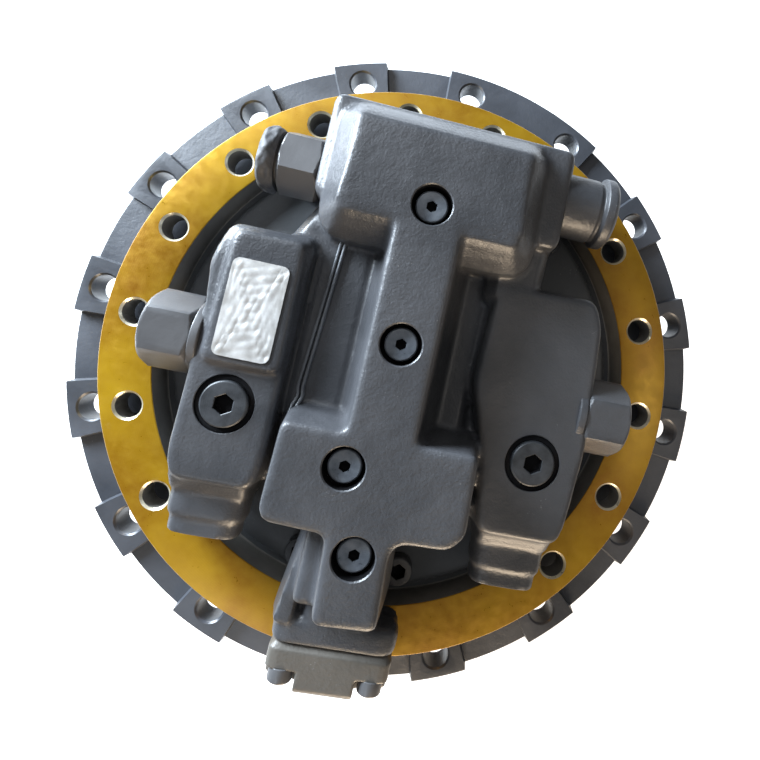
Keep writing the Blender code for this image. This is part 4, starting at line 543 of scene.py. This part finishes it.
degrees = drum_angles()
share = pad_share(degrees)[None, :, None]
turned_to = np.radians(degrees + SPROCKET_FIRST)
on_pad = turned(drum_profile(0, 0), turned_to)
in_recess = turned(drum_profile(RECESS_DEPTH, RECESS_INSET), turned_to)
rim = on_pad * share + in_recess * (1 - share)
drum = make_piece("sprocket_drum", [rim], "flange_paint", "drum", ("hub",), wraps=True)
sprocket_holes = circle_places(SPROCKET_PCR, SPROCKET_HOLES, SPROCKET_FIRST, HOLE_STEP)
carve(drum, hole_cutters(sprocket_holes, SPROCKET_HOLE_R, UNDER_Z, PAD_Z, SPROCKET_CHAMFER))
print("drum faces", len(drum.data.polygons))

# %% [markdown]
# ## The spindle and its golden frame face
# The spindle is one turned casting: a flange with fourteen bolt holes, a deep pocket for the valve head,
# the bearing seats and the end that holds the planet pins. Only the flange is golden. The mesh gets three
# more materials by the place of each face: bare steel down the holes and below the flange, grey paint in
# the pocket, and on the holes' machined chamfers a pale steel that is a painted highlight.

# %% Spindle
FRAME_Z, FRAME_UNDER_Z, POCKET_Z, POCKET_R, FRAME_R = 275.0, 253.0, 249.0, 173.0, 209.0
FRAME_PCR, FRAME_HOLES, FRAME_FIRST, FRAME_PITCH = 190.0, 14, -40.0, 20.0
FRAME_HOLE_R, FRAME_RIM_R, FRAME_CHAMFER = 9.0, 10.6, 1.5
spindle_profile = [
    (27, 135), (122, 135), (122, 222.3), (140, 222.3), (140, 237), (174.6, 237), (174.6, 230), (179, 230),
    (179, FRAME_UNDER_Z), (FRAME_R, FRAME_UNDER_Z), (FRAME_R, FRAME_Z), (POCKET_R, FRAME_Z),
    (POCKET_R, POCKET_Z), (96, POCKET_Z), (96, 189), (88, 189), (88, 153), (27, 153)]
spindle = make_piece("spindle_casting", [turned(softened_loop(spindle_profile, 1.2, 3), 144)],
                     "flange_face", "spindle", ("spindle",), wraps=True)
frame_holes = circle_places(FRAME_PCR, FRAME_HOLES, FRAME_FIRST, FRAME_PITCH)
carve(spindle, hole_cutters(frame_holes, FRAME_HOLE_R, FRAME_UNDER_Z, FRAME_Z, FRAME_CHAMFER))


def face_centres(mesh):
    """The centre of every face, in millimetres."""
    centres = np.empty(len(mesh.polygons) * 3)
    mesh.polygons.foreach_get("center", centres)
    return centres.reshape(-1, 3) / MM


def nearest(centres, places):
    """Each face's distance across x and y to the nearest of some places, in millimetres."""
    places = np.array(places)
    return np.min(np.hypot(centres[:, None, 0] - places[:, 0], centres[:, None, 1] - places[:, 1]), axis=1)


def finish_spindle(mesh):
    """0 golden flange, 1 bare steel below it and down the holes, 2 pocket paint, 3 painted highlight on
    chamfers.
    """
    centres = face_centres(mesh)
    height = centres[:, 2]
    radius = np.hypot(centres[:, 0], centres[:, 1])
    to_hole = nearest(centres, frame_holes)
    in_bore, on_rim = FRAME_HOLE_R + 0.1, FRAME_RIM_R
    look = np.where((radius > POCKET_R - 0.5) & (height > FRAME_UNDER_Z + 1), 0, 1)
    look = np.where((radius < POCKET_R + 0.7) & (height < FRAME_Z - 0.6), 1, look)
    look = np.where((radius < POCKET_R - 1.5) & (height < POCKET_Z + 1), 2, look)
    look = np.where((to_hole < in_bore) & (height < FRAME_Z - 1.6), 1, look)
    # the chamfer rims get the pale steel: a painted highlight
    look = np.where((to_hole < on_rim) & (to_hole > in_bore) & (height < FRAME_Z - 0.1), 3, look)
    for extra in ("bare_steel", "pocket_paint", "chamfer_highlight"):
        mesh.materials.append(looks[extra])
    mesh.polygons.foreach_set("material_index", look.astype(np.int32))


finish_spindle(spindle.data)
pin_profile = [(0, 90.7), (24, 90.7), (24, 94.7), (18, 94.7), (18, 148), (0, 148)]
pin_row = turned(softened(pin_profile, 1.0, 2), 40)
make_piece("planet_pins", [stand(pin_row, (x, y, 0)) for x, y in circle_places(96, 4, 90, 90)],
           "steel", "spindle", ("spindle",))
print("spindle faces", len(spindle.data.polygons))

# %% [markdown]
# ## The end cover
# The drive stands on its end cover. A dished casting closes the gears, twelve hexagon screws hold it, and
# three plugs on its cone fill, level and drain the oil. A hexagon is a circle whose radius changes with the
# angle: the flat's distance divided by the cosine of the angle from the middle of the flat. Where a cone is
# smaller than the hexagon the cone wins, and that is the chamfer every real nut has.

# %% End cover
def hexagon_radius(a, across):
    """Half the width across flats over cos of the angle from the nearest flat's middle."""
    return across / 2 / np.cos((a + math.pi / 6) % (math.pi / 3) - math.pi / 6)


def hexagon_bar(rows, across, turn=0.0):
    """Rows of (cone radius, height); each point takes the smaller of the cone and the hexagon."""
    rows = np.array(rows, dtype=float)[:, None, :]
    a = angles(48)
    r = np.minimum(hexagon_radius(a, across), rows[..., 0])
    return np.stack([r * np.cos(a + turn), r * np.sin(a + turn), rows[..., 1] + 0 * a], axis=-1) * MM


def chamfered_rows(across, low, high, both=False, steep=0.55):
    """Rows of a hexagon bar with a cone at its top, and at its foot too if both; steep is rise over run."""
    corner = across / 2 / math.cos(math.pi / 6)
    inner = across / 2 * 0.96
    rise = (corner - inner) * steep
    share = np.linspace(0, 1, 5)
    top = np.stack([corner - (corner - inner) * share, high - rise + rise * share], axis=-1)
    foot = np.stack([corner - (corner - inner) * share[::-1], low + rise * share], axis=-1)
    return np.vstack([foot if both else [[corner + 1, low]], top])


cover_profile = [(0, 0), (146, 0), (174, 14), (198, 14), (198, 30), (174, 30), (174, 39), (162, 39),
                 (150, 12), (22, 12), (22, 30), (0, 30)]
cover_grids = [turned(softened(cover_profile, 2.2, 3), 144)]
cover_screws = (18, -14.3, -6, circle_places(187, 12, 15, 30))
cover_plugs = (20, -14, -3, circle_places(158, 3, 90, 120))
for across, low, high, places in (cover_screws, cover_plugs):
    bar = hexagon_bar(chamfered_rows(across, low, high), across)
    cover_grids += [stand(bar, (x, y, 0), DOWN) for x, y in places]
cover = make_piece("cover_casting", cover_grids, "cast_paint", "drum", ("end_cover",))
print("cover faces", len(cover.data.polygons))

# %% [markdown]
# ## The cast valve head
# Foundry patterns are built from drafted blocks, and the sand rounds every edge and corner between them.
# So the head starts as the same blocks, each a stack of outlines that grow towards the base. A voxel remesh
# melts them into one skin, smoothing rounds the meetings, and only then are the bores cut crisp, as the
# real head is machined after casting. Heights of the head are measured from the drum's pads.

# %% Blocks of the head
def counter_clockwise(outline):
    """The same corners, turned the other way round if their area is negative."""
    x, y = outline.T
    area = np.sum(x * np.roll(y, -1) - np.roll(x, -1) * y)
    return outline if area > 0 else outline[::-1]


def grown(outline, distance):
    """Moves every side outwards: corner + distance (n1 + n2) / (1 + n1 . n2), n the sides' normals."""
    side = np.roll(outline, -1, axis=0) - outline
    normal = np.stack([side[:, 1], -side[:, 0]], axis=-1) / np.linalg.norm(side, axis=1, keepdims=True)
    last = np.roll(normal, 1, axis=0)
    return outline + distance * (normal + last) / (1 + np.sum(normal * last, axis=1, keepdims=True))


def block(corners, rows, radius, axis="z"):
    """A rounded outline stacked along an axis, by rows of (place, growth); heights are above the pads."""
    outline = counter_clockwise(softened_loop(corners, radius, 3))
    rings = []
    for place, grow in rows:
        u, v = grown(outline, grow).T
        at = np.full(len(u), place)
        rings.append(np.column_stack({"x": (at, u, v), "y": (u, at, v), "z": (u, v, at)}[axis]))
    return (np.array(rings) + (0, 0, PAD_Z)) * MM


def sides(left, right, low, high):
    """The four corners of a rectangle."""
    return [(left, low), (right, low), (right, high), (left, high)]


def drafted(top, draft=4.0, edge=2.5):
    """Rows of a block that stands on the head's disc, with sloping walls and a bevel at its top."""
    return [(DISC_FOOT, draft), (top - edge, 0), (top, -edge)]


def along(corners, start, end, axis, radius, draft=1.5):
    """A block whose outline is drawn across x or y: (place, height) pairs, kept between two ends."""
    rows = [(start, -draft), (start + draft, 0), (end - draft, 0), (end, -draft)]
    return block(corners, rows, radius, axis)


DISC_R, DISC_UNDER_Z, DISC_Z, DISC_FOOT = 166, 249.4, 257.3, 14.3
LOBE_TOP, COLUMN_TOP = 84, 118
DOUBLE_T = [(-17, -151), (21, -150), (19, -104), (24, -98), (53, -97), (62, -88), (60, -39), (21.5, -39),
            (21.5, 96), (60, 97), (56, 154), (-56, 153), (-60, 94), (-21.5, 94), (-21.5, -39), (-59.5, -39),
            (-61, -92), (-57, -98), (-20, -100)]
LEFT_LOBE = [(-125, -94), (-130, -80), (-129, 16), (-133, 47), (-125, 73), (-70, 73), (-71, -75),
             (-74, -94)]
RIGHT_LOBE = [(129, -94), (133, -80), (137, -30), (133, 56), (125, 75), (55, 71), (52, 4), (66, -40),
              (74, -94)]
PORT_X, PORT_H, PORT_MOUTH, PORT_R, PORT_DEPTH = 103.0, 53.0, -133, 11.5, 34


def lobe_end(side):
    """The end of a lobe above its port: flat, a gentle slope, a steep facet, the boss and its lower lip."""
    slope = [(-60, 84), (-68, 84), (-93, 78), (-105, 69), (-108, 30), (-60, 30)]
    yield along(slope, side * PORT_X - 25, side * PORT_X + 25, "x", 5)
    boss = sides(side * PORT_X - 25.5, side * PORT_X + 25.5, PORT_H - 16.3, PORT_H + 16.3)
    yield along(boss, -122, -70, "y", 12, 2.5)
    lip = sides(side * PORT_X - 23.5, side * PORT_X + 23.5, PORT_H - 15.5, PORT_H + 14)
    yield along(lip, PORT_MOUTH, -110, "y", 12, 1.0)


def head_blocks():
    """Every cast mass of the head, in millimetres: corners across x and y, then heights and growths."""
    # the disc in the pocket and the two low tables on it
    yield turned([(0, DISC_UNDER_Z), (DISC_R, DISC_UNDER_Z), (DISC_R, DISC_Z), (0, DISC_Z)], 96)
    yield block(sides(-131, 132, -92, 72), drafted(59, 4, 4), 9)
    yield block(sides(-69, 54, -98, 101), drafted(67, 4, 5), 6)
    yield block(sides(-69, -30, -45, 92), [(40, 3), (70, 0), (73, -5)], 6)
    # the column, its double T and the low block
    yield block(sides(-21, 21, -100, 98), [(50, 15), (68, 12), (80, 6), (96, 2), (112, 0), (116, -2)], 4)
    yield block(DOUBLE_T, [(60, 6), (90, 3), (115.6, 0), (117.3, -1.0), (COLUMN_TOP, -2.6)], 5)
    yield block(sides(-59, 59, -96, -40), [(DISC_FOOT, 8), (90, 3), (112, 0), (115, -3)], 6)
    # the two lobes and the seat of the blank plate
    yield block(LEFT_LOBE, drafted(LOBE_TOP), 8)
    yield block(RIGHT_LOBE, drafted(LOBE_TOP), 8)
    yield block([(-119, 68), (-75, 69), (-73, -17), (-122, -17)], [(78, 4), (88.5, 0.5), (90, -1.5)], 6)
    # the top block in two tiers, and the webs from it to the lobes
    yield block(sides(-78, 88, 101, 171), drafted(94, 4, 3), 6)
    yield block(sides(-58, 58, 90, 154), [(60, 14), (93, 14), (104, 8), (113, 2), (117.5, -2)], 5)
    yield block([(-94, 64), (-52, 60), (-50, 106), (-72, 106)], [(40, 5), (64, 2), (74, -4)], 4)
    yield block([(50, 60), (82, 60), (84, 104), (50, 104)], [(30, 6), (74, 3), (83, -4)], 4)
    # the arm, the slope at its left, and the foot's flange with its two bosses
    yield block(sides(-33, 21, -152, -96), drafted(96, 3, 4), 5)
    yield block([(-46, -173), (-28, -173), (-28, -98), (-36, -98)], [(30, 3), (60, 1), (81, -3)], 4)
    yield along(sides(-42, 38, 37, 80), -183, -169, "y", 11, 0.6)
    yield along(sides(-26, 22, 40, 80), -168, -148, "y", 8, 0.6)
    for x in (-31, 27):
        yield along(sides(x - 12, x + 12, 54, 80), -182.6, -166, "y", 11, 3)
    # the lobes' ends, and the short arms behind the relief valves
    for side in (-1, 1):
        yield from lobe_end(side)
        low, high = sorted((side * 118, side * 131))
        yield along(sides(-27, 17, 41, 83), low, high, "x", 14, 1.0)


def melted(piece, voxel):
    """Makes one skin of the piece's blocks, in voxels of so many millimetres, and smooths it."""
    melt = piece.modifiers.new("melt", "REMESH")
    melt.mode = "VOXEL"
    melt.voxel_size = voxel * MM
    rub = piece.modifiers.new("rub", "SMOOTH")
    rub.factor = 0.5
    rub.iterations = 3
    apply_modifiers(piece)


head = make_piece("head_casting", list(head_blocks()), "cast_paint", "spindle",
                  ("valve_head",))
melted(head, 2.0)
print("head skin faces", len(head.data.polygons))

# %% [markdown]
# ## The double seam and the bores
# Where two halves of the sand mould met, iron crept between them and left a double ridge down the left
# valley. It is a small rounded profile carried along a path, across the path's direction at each point.
# Then the plugs' counterbores and the two ports are cut into the head.

# %% Seam and bores
def carried(path, profile):
    """Profile points (across, up) carried along a path of (x, y, height) rows, all in millimetres."""
    path = np.array(path, dtype=float)
    tangent = np.gradient(path, axis=0)
    across = np.stack([tangent[:, 1], -tangent[:, 0]], axis=-1)
    across /= np.linalg.norm(across, axis=1, keepdims=True)
    profile = np.array(profile)
    plan = path[:, None, :2] + across[:, None, :] * profile[None, :, :1]
    height = PAD_Z + path[:, None, 2:] + profile[None, :, 1:]
    return np.concatenate([plan, height], axis=-1) * MM


def bore_at(at, direction, radius, depth, around, chamfer=0.8):
    """A cutter from a mouth inwards, with a small countersink; at and depth are in millimetres."""
    rows = [(radius + chamfer + 1, -1), (radius, chamfer), (radius, depth)]
    return stand(turned(rows, around), at, direction)


def seam_path(shift):
    """A nearly straight path down the valley with a small kink near its lower end, as (x, y, height)."""
    y = np.linspace(88, -58, 60)
    x = -53.0 - 9.0 * (88 - y) / 146 + 1.6 * np.exp(-((y + 30) / 4) ** 2) + shift
    h = 74.2 + 5.5 * np.clip((-30 - y) / 20, 0, 1)
    return np.stack([x, y, h], axis=-1)


seam_profile = [(-1.3, -5), (-1.0, 1.3), (-0.5, 2.0), (0.5, 2.0), (1.0, 1.3), (1.3, -5)]
# the ridges wear the lighter copy of the paint: painted light
make_piece("mould_seam", [carried(seam_path(shift), seam_profile) for shift in (-1.5, 1.5)],
           "painted_light_seam", "spindle", ("valve_head",), 60)

PASSAGE_PLUGS = [(-1, 106), (-1, 18), (-18, -60), (-1, -110)]
GAUGES = [(-102.0, -42.5), (102.0, -42.5)]
COUNTERBORE_R, COUNTERBORE_DEPTH = 12.8, 11.0
SPOTFACE_R, SPOTFACE_DEPTH = 18.7, 2.4
cutters = [bore_at((x, y, PAD_Z + COLUMN_TOP), DOWN, COUNTERBORE_R, COUNTERBORE_DEPTH, 56)
           for x, y in PASSAGE_PLUGS]
for side, (x, y) in zip((-1, 1), GAUGES):
    cutters.append(bore_at((x, y, PAD_Z + LOBE_TOP), DOWN, SPOTFACE_R, SPOTFACE_DEPTH, 64, 0.5))
    cutters.append(bore_at((side * PORT_X, PORT_MOUTH, PAD_Z + PORT_H), (0, 1, 0), PORT_R, PORT_DEPTH, 56))
carve(head, cutters, 38)
print("head faces", len(head.data.polygons))

# %% [markdown]
# ## Small tools for fittings
# A socket screw is a turned head whose last rings follow a hexagon and go down inside it. Paint fills the
# corners of hexagons, so their edges get a narrow bevel. And some faces of a piece need another material,
# such as the near-black painted shade on the wall of a counterbore, so faces can be picked by where they
# are.

# %% Fitting tools
def socket_head(rows, across, depth):
    """Round rows, then rings at r(a) of a hexagon that go down to the socket's floor and end in a cone."""
    a = angles(48)
    hexagon = hexagon_radius(a, across)
    rim = rows[-1][1]
    sunk = [(1.08, rim), (1.0, rim - 0.5), (1.0, rim - depth), (0.0, rim - depth - 1.0)]
    rings = [np.column_stack([hexagon * share * np.cos(a), hexagon * share * np.sin(a), height + 0 * a])
             for share, height in sunk]
    return np.concatenate([turned(rows, len(a)), np.array(rings) * MM])


def soften_edges(piece, width):
    """Bevels every edge steeper than 30 degrees by a width in millimetres, and applies it."""
    edge = piece.modifiers.new("soft_edge", "BEVEL")
    edge.width = width * MM
    edge.segments = 2
    edge.limit_method = "ANGLE"
    edge.angle_limit = math.radians(30)
    apply_modifiers(piece)
    shade(piece.data, 40)


def second_look(piece, look, chosen):
    """Gives another finish to the faces whose centres, in millimetres, the function chosen picks."""
    mesh = piece.data
    mesh.materials.append(looks[look])
    index = np.zeros(len(mesh.polygons), dtype=np.int32)
    mesh.polygons.foreach_get("material_index", index)
    index[chosen(face_centres(mesh))] = len(mesh.materials) - 1
    mesh.polygons.foreach_set("material_index", index)


print("a socket head has", socket_head([(0, 0), (8, 0), (8, 9), (7, 10)], 6, 5).shape[0], "rings")

# %% [markdown]
# ## Machined places on the head
# The head's disc wears the pocket's own paint. The walls of the counterbores and of the gauge plugs' spot
# faces, and the ports inside, are painted near-black: painted shade in these recesses.

# %% Machined places
PORTS = [(side * PORT_X, PAD_Z + PORT_H) for side in (-1, 1)]
PORT_FLOOR = PORT_MOUTH + PORT_DEPTH
second_look(head, "pocket_paint",
            lambda c: (c[:, 2] < DISC_Z + 0.3) & (nearest(c, [(0, 0)]) < DISC_R + 1))
# recess walls and ports get the near-black: painted shade
for places, radius, top in ((PASSAGE_PLUGS, COUNTERBORE_R, COLUMN_TOP - 0.8),
                            (GAUGES, SPOTFACE_R, LOBE_TOP - 0.4)):
    second_look(head, "painted_shade_black",
                lambda c: (nearest(c, places) < radius + 0.1) & (c[:, 2] < PAD_Z + top))
second_look(head, "painted_shade_black", lambda c: (nearest(c[:, [0, 2]], PORTS) < PORT_R + 0.2)
            & (c[:, 1] < PORT_FLOOR - 0.2) & (c[:, 1] > PORT_MOUTH + 1))
print("head finishes", [m.name for m in head.data.materials])

# %% [markdown]
# ## Relief valves
# Two relief valves screw in from the sides with a flat of the hexagon up. Each is a washer and a hexagon
# bar laid along x. The bar is cut by a cone at both ends, so the flats end in shallow arcs.

# %% Relief valves
VALVE_FACE, VALVE_Y, VALVE_Z, VALVE_ACROSS, VALVE_FOOT, VALVE_END = 138.0, -5.0, 301.5, 46.0, -5.8, 26.5
washer_rows = softened([(0, -11), (24.6, -11), (24.6, -5.4), (0, -5.4)], 0.9, 3)
bar_rows = chamfered_rows(VALVE_ACROSS, VALVE_FOOT, VALVE_END, True, 0.7)
bar_rows = np.vstack([bar_rows, [(9, VALVE_END), (7.5, VALVE_END - 1.2), (0, VALVE_END - 1.2)]])
washer, bar = turned(washer_rows, 64), hexagon_bar(bar_rows, VALVE_ACROSS)
# left valve in the lighter paint, right in the plain one: painted window light on the left
for name, direction, valve_look in (("left", LEFT, "painted_light_grey"), ("right", RIGHT, "cast_paint")):
    at = (direction[0] * VALVE_FACE, VALVE_Y, VALVE_Z)
    grids = [stand(grid, at, direction) for grid in (washer, bar)]
    valve = make_piece(f"relief_valve_{name}_bar", grids, valve_look, "spindle",
                       (f"relief_valve_{name}",))
    soften_edges(valve, 0.9)
print("relief valve reaches", VALVE_FACE + VALVE_END, "mm from the middle")

# %% [markdown]
# ## Caps of the counterbalance valve
# The left cap is a hexagon turned by ten degrees, with a rough collar at its end, where paint and scale
# are thick. The collar is a turned ring whose radius is disturbed by sines of the angle and the height. The
# right cap is round, with a groove and a rim.

# %% Spool caps
LEFT_CAP, RIGHT_CAP = (-78.0, 122.0, 308.0), (88.0, 139.0, 308.0)
CAP_ACROSS, CAP_TURN, COLLAR_LUMP = 41, math.radians(10), 0.42


def rough_ring(rows):
    """Radius + lump (sin(3a + 0.4h) + 0.8 sin(5a - 0.7h + 1) + 0.5 sin(11a + 0.9h) + 0.3 sin(23a - h))."""
    rows = np.array(rows)[:, None, :]
    a, h = angles(120), rows[..., 1]
    wave = np.sin(3 * a + 0.4 * h) + 0.8 * np.sin(5 * a - 0.7 * h + 1)
    wave = wave + 0.5 * np.sin(11 * a + 0.9 * h) + 0.3 * np.sin(23 * a - h)
    r = rows[..., 0] + COLLAR_LUMP * wave * (rows[..., 0] > 20)
    return np.stack([r * np.cos(a), r * np.sin(a), h + 0 * a], axis=-1) * MM


collar_heights = np.linspace(30, 40, 14)
collar = [(0, 29.4), (20.4, 29.4)] + [(22.6 - 1.8 * ((h - 35) / 5) ** 4, h) for h in collar_heights]
collar += [(20.2, 40.7), (12, 40.9), (0, 40.9)]
neck = [(0, -3), (17, -3), (17, 30), (0, 30)]
cap_bar = hexagon_bar(chamfered_rows(CAP_ACROSS, 0.4, 27.4, True), CAP_ACROSS, CAP_TURN)
grids = [stand(grid, LEFT_CAP, LEFT) for grid in (turned(neck, 48), cap_bar, rough_ring(collar))]
# the hexagon wears the lighter paint: painted window light
left_cap = make_piece("counterbalance_hexagon", grids, "painted_light_grey", "spindle",
                      ("counterbalance_cap",))
second_look(left_cap, "rough_collar", lambda c: c[:, 0] < LEFT_CAP[0] - 28.5)
right_rows = softened([(0, -3), (22.6, -3), (22.6, 24), (21.4, 25.2), (21.4, 27.2), (25.4, 28.6),
                       (25.4, 34.5), (23, 37), (8.5, 37), (7.5, 35.8), (0, 35.8)], 0.8, 3)
make_piece("shuttle_round_cap", [stand(turned(right_rows, 96), RIGHT_CAP, RIGHT)], "cast_paint",
           "spindle", ("shuttle_valve_cap",))
print("left cap faces", len(left_cap.data.polygons))

# %% [markdown]
# ## Plugs and screws
# The two gauge plugs sit in shallow rings, each on a black seal ring whose black also paints the shade in
# its groove. The four passage plugs lie deep in their counterbores. Six socket screws hold the head down in
# the pocket. All of them are the same turned head with a hexagon socket, in different sizes, and each
# socket is painted near-black inside: painted shade.

# %% Plugs and screws
# each size: radius and height of the head, width and depth of the socket
GAUGE_PLUG, PASSAGE_PLUG = (15.0, 4.6, 11.5, 7), (10.4, 5.0, 6.2, 4)
HEAD_SCREW, FOOT_SCREW = (10.5, 12, 10, 7), (8, 9, 8, 5)
SCREW_CIRCLE, SCREW_ANGLES = 152.0, (128, 52, 182, -2, 254.5, 282.5)


def add_socket_screw(name, at, size, look, stands_for, axis=UP):
    """A head of one of the sizes on a place, with a chamfered rim and a socket."""
    radius, height, across, depth = size
    rows = softened([(0, -0.6), (radius, -0.6), (radius, height - 0.9), (radius - 0.9, height),
                     (across * 0.62, height)], 0.5, 3)
    grid = stand(socket_head(rows, across, depth), at, axis)
    screw = make_piece(name, [grid], look, "spindle", stands_for, 38)
    top = np.array(at) + np.array(axis) * (height - 0.3)

    def inside(c):
        up = (c - top) @ axis
        aside = np.linalg.norm(c - top - np.outer(up, axis), axis=1)
        return (up < 0) & (up > -depth - 2) & (aside < across * 0.58)

    # the inside of the socket gets the near-black: painted shade
    second_look(screw, "painted_shade_black", inside)


seal = softened_loop([(15.2, 0), (18.5, 0), (18.5, 0.9), (15.2, 0.9)], 0.4, 3)
for (x, y), name in zip(GAUGES, ("left", "right")):
    at = (x, y, PAD_Z + LOBE_TOP - SPOTFACE_DEPTH)
    add_socket_screw(f"gauge_plug_{name}_head", at, GAUGE_PLUG, "plug_steel",
                     (f"gauge_plug_{name}",))
    # the seal ring is near-black, which also paints the shade in the groove round the plug
    make_piece(f"gauge_seal_{name}", [stand(turned(seal, 64), at)], "painted_shade_black", "spindle",
               (f"gauge_plug_{name}",), wraps=True)
for number, (x, y) in enumerate(PASSAGE_PLUGS, 1):
    at = (x, y, PAD_Z + COLUMN_TOP - COUNTERBORE_DEPTH)
    add_socket_screw(f"passage_plug_{number}_head", at, PASSAGE_PLUG, "plug_face",
                     (f"passage_plug_{number}",))
for number, degrees_at in enumerate(SCREW_ANGLES, 1):
    x, y = circle_places(SCREW_CIRCLE, 1, degrees_at, 0)[0]
    add_socket_screw(f"head_screw_{number}", (x, y, DISC_Z), HEAD_SCREW, "plug_steel",
                     ("valve_head",))

# %% [markdown]
# ## The end cover of the foot
# The two-speed valve's bore is closed by a thick cast cover with a notch at each corner for a screw. The
# block is cut by four rounded boxes, then melted and smoothed like the head, so every edge is a cast one.

# %% Foot cover
COVER_FACE, COVER_END, COVER_X, COVER_H = -183.3, -213.3, -2.0, 58.5
SCREW_SIDE, SCREW_RISE, SCREW_SEAT, SCREW_ROOM = 29.0, 14.5, -199.3, 10.0
cover_body = along(sides(-42, 38, 37, 80), COVER_END, COVER_FACE, "y", 7, 3.6)
# the cover wears the tan copy of the paint: painted warm light
cover_block = make_piece("foot_cover_block", [cover_body], "painted_warm_light", "spindle",
                         ("foot_cover",))
screw_corners = [(side, rise) for side in (-1, 1) for rise in (-1, 1)]
notches = []
for side, rise in screw_corners:
    x_ends = sorted((COVER_X + side * (SCREW_SIDE - SCREW_ROOM), COVER_X + side * 60))
    h_ends = sorted((COVER_H + rise * (SCREW_RISE - SCREW_ROOM), COVER_H + rise * 40))
    notches.append(along(sides(*x_ends, *h_ends), COVER_END - 5, SCREW_SEAT, "y", 5, 0.5))
carve(cover_block, notches)
melted(cover_block, 0.9)
shade(cover_block.data, 180)
for number, (side, rise) in enumerate(screw_corners, 1):
    at = (COVER_X + side * SCREW_SIDE, SCREW_SEAT, PAD_Z + COVER_H + rise * SCREW_RISE)
    # the screw heads wear the lighter paint: painted highlights
    add_socket_screw(f"foot_screw_{number}", at, FOOT_SCREW, "painted_light_grey",
                     (f"foot_cover_screw_{number}",), FRONT)
print("foot cover faces", len(cover_block.data.polygons))

# %% [markdown]
# ## The blank plate
# A foil plate, still without a word on it, is glued to the left lobe. Its outline is a rounded rectangle,
# and its rings shrink towards the middle. The height follows creases: sums of |sin| along several
# directions, which have sharp valleys as crumpled foil does.

# %% Blank plate
PLATE_AT, PLATE_THICK, CREASE = (-98.0, 19.0, 329.25), 0.75, 0.9


def creases(x, y):
    """Mean of |sin(k (x cos t + y sin t) + p)| over five directions, minus its average, in millimetres."""
    turn = np.array([0.3, 1.1, 1.9, 2.5, 2.9])
    pitch = np.array([0.42, 0.31, 0.55, 0.37, 0.73])
    start = np.array([0.5, 2.1, 4.0, 1.2, 3.3])
    phase = pitch * (x[..., None] * np.cos(turn) + y[..., None] * np.sin(turn)) + start
    return np.mean(np.abs(np.sin(phase)), axis=-1) - 0.64


outline = counter_clockwise(softened_loop(sides(-18, 18, -31.5, 31.5), 5.5, 8))
dense = np.linspace(0, 1, 9)[:-1, None]
outline = np.concatenate([a + (b - a) * dense for a, b in zip(outline, np.roll(outline, -1, axis=0))])
shrink = np.linspace(1, 0, 40)[:, None]
plan = shrink[..., None] * outline
fade = np.clip((1 - shrink) * 12, 0.25, 1)
height = PLATE_THICK + CREASE * creases(plan[..., 0], plan[..., 1]) * fade
foot = np.dstack([plan[:1], np.zeros_like(height[:1])])
grid = stand(np.concatenate([foot, np.dstack([plan, height])]) * MM, PLATE_AT)
plate = make_piece("blank_plate", [grid], "foil", "spindle", ("nameplate",), 60)
print("plate faces", len(plate.data.polygons))

# %% [markdown]
# ## Floor and background
# A plain pale floor carries the drive on its cover. It glows to the camera, which makes it white there, and
# keeps a soft shadow. The background is white only to the camera and through glass, and dim to everything
# else, so it adds little light to the object.

# %% Floor and background
FLOOR_SIDE, FLOOR_GREY, FLOOR_GLOW, WORLD_LIGHT = 40, 0.86, 0.82, 0.17
floor_mesh = bpy.data.meshes.new("floor")
floor_corners = [(x, y, 0) for x, y in sides(-FLOOR_SIDE, FLOOR_SIDE, -FLOOR_SIDE, FLOOR_SIDE)]
floor_mesh.from_pydata(floor_corners, [], [(0, 1, 2, 3)])
floor = new_object("floor", floor_mesh)
floor_look, tree, shader = new_material("pale_floor", 0.0)
set_inputs(shader, Base_Color=(FLOOR_GREY, FLOOR_GREY, FLOOR_GREY, 1), Roughness=0.9,
           Emission_Color=(1, 1, 1, 1))
path = tree.nodes.new("ShaderNodeLightPath").outputs
glow = maths(tree, "MULTIPLY", path["Is Camera Ray"], FLOOR_GLOW)
tree.links.new(glow, shader.inputs["Emission Strength"])
floor_mesh.materials.append(floor_look)
floor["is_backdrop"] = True

world = bpy.data.worlds.new("studio")
world.use_nodes = True
bpy.context.scene.world = world
tree = world.node_tree
sky = tree.nodes["Background"]
set_inputs(sky, Color=(1, 1, 1, 1))
path = tree.nodes.new("ShaderNodeLightPath").outputs
seen = maths(tree, "MAXIMUM", path["Is Camera Ray"], path["Is Transmission Ray"])
tree.links.new(ramp(tree, seen, 0, 1, WORLD_LIGHT, 1.0), sky.inputs["Strength"])
print("floor of", 2 * FLOOR_SIDE, "m, background", world.name)

# %% [markdown]
# ## Sizes
# Both boxes, of the imported model and of the dressed one, are printed side by side. The dressed model
# has to stay in the imported model's box.

# %% Finish
dressed_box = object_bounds()
sizes = {"cad": [[float(v) for v in corner] for corner in cad_box],
         "visual": [[float(v) for v in corner] for corner in dressed_box]}
print("cad box", sizes["cad"], "dressed box", sizes["visual"])
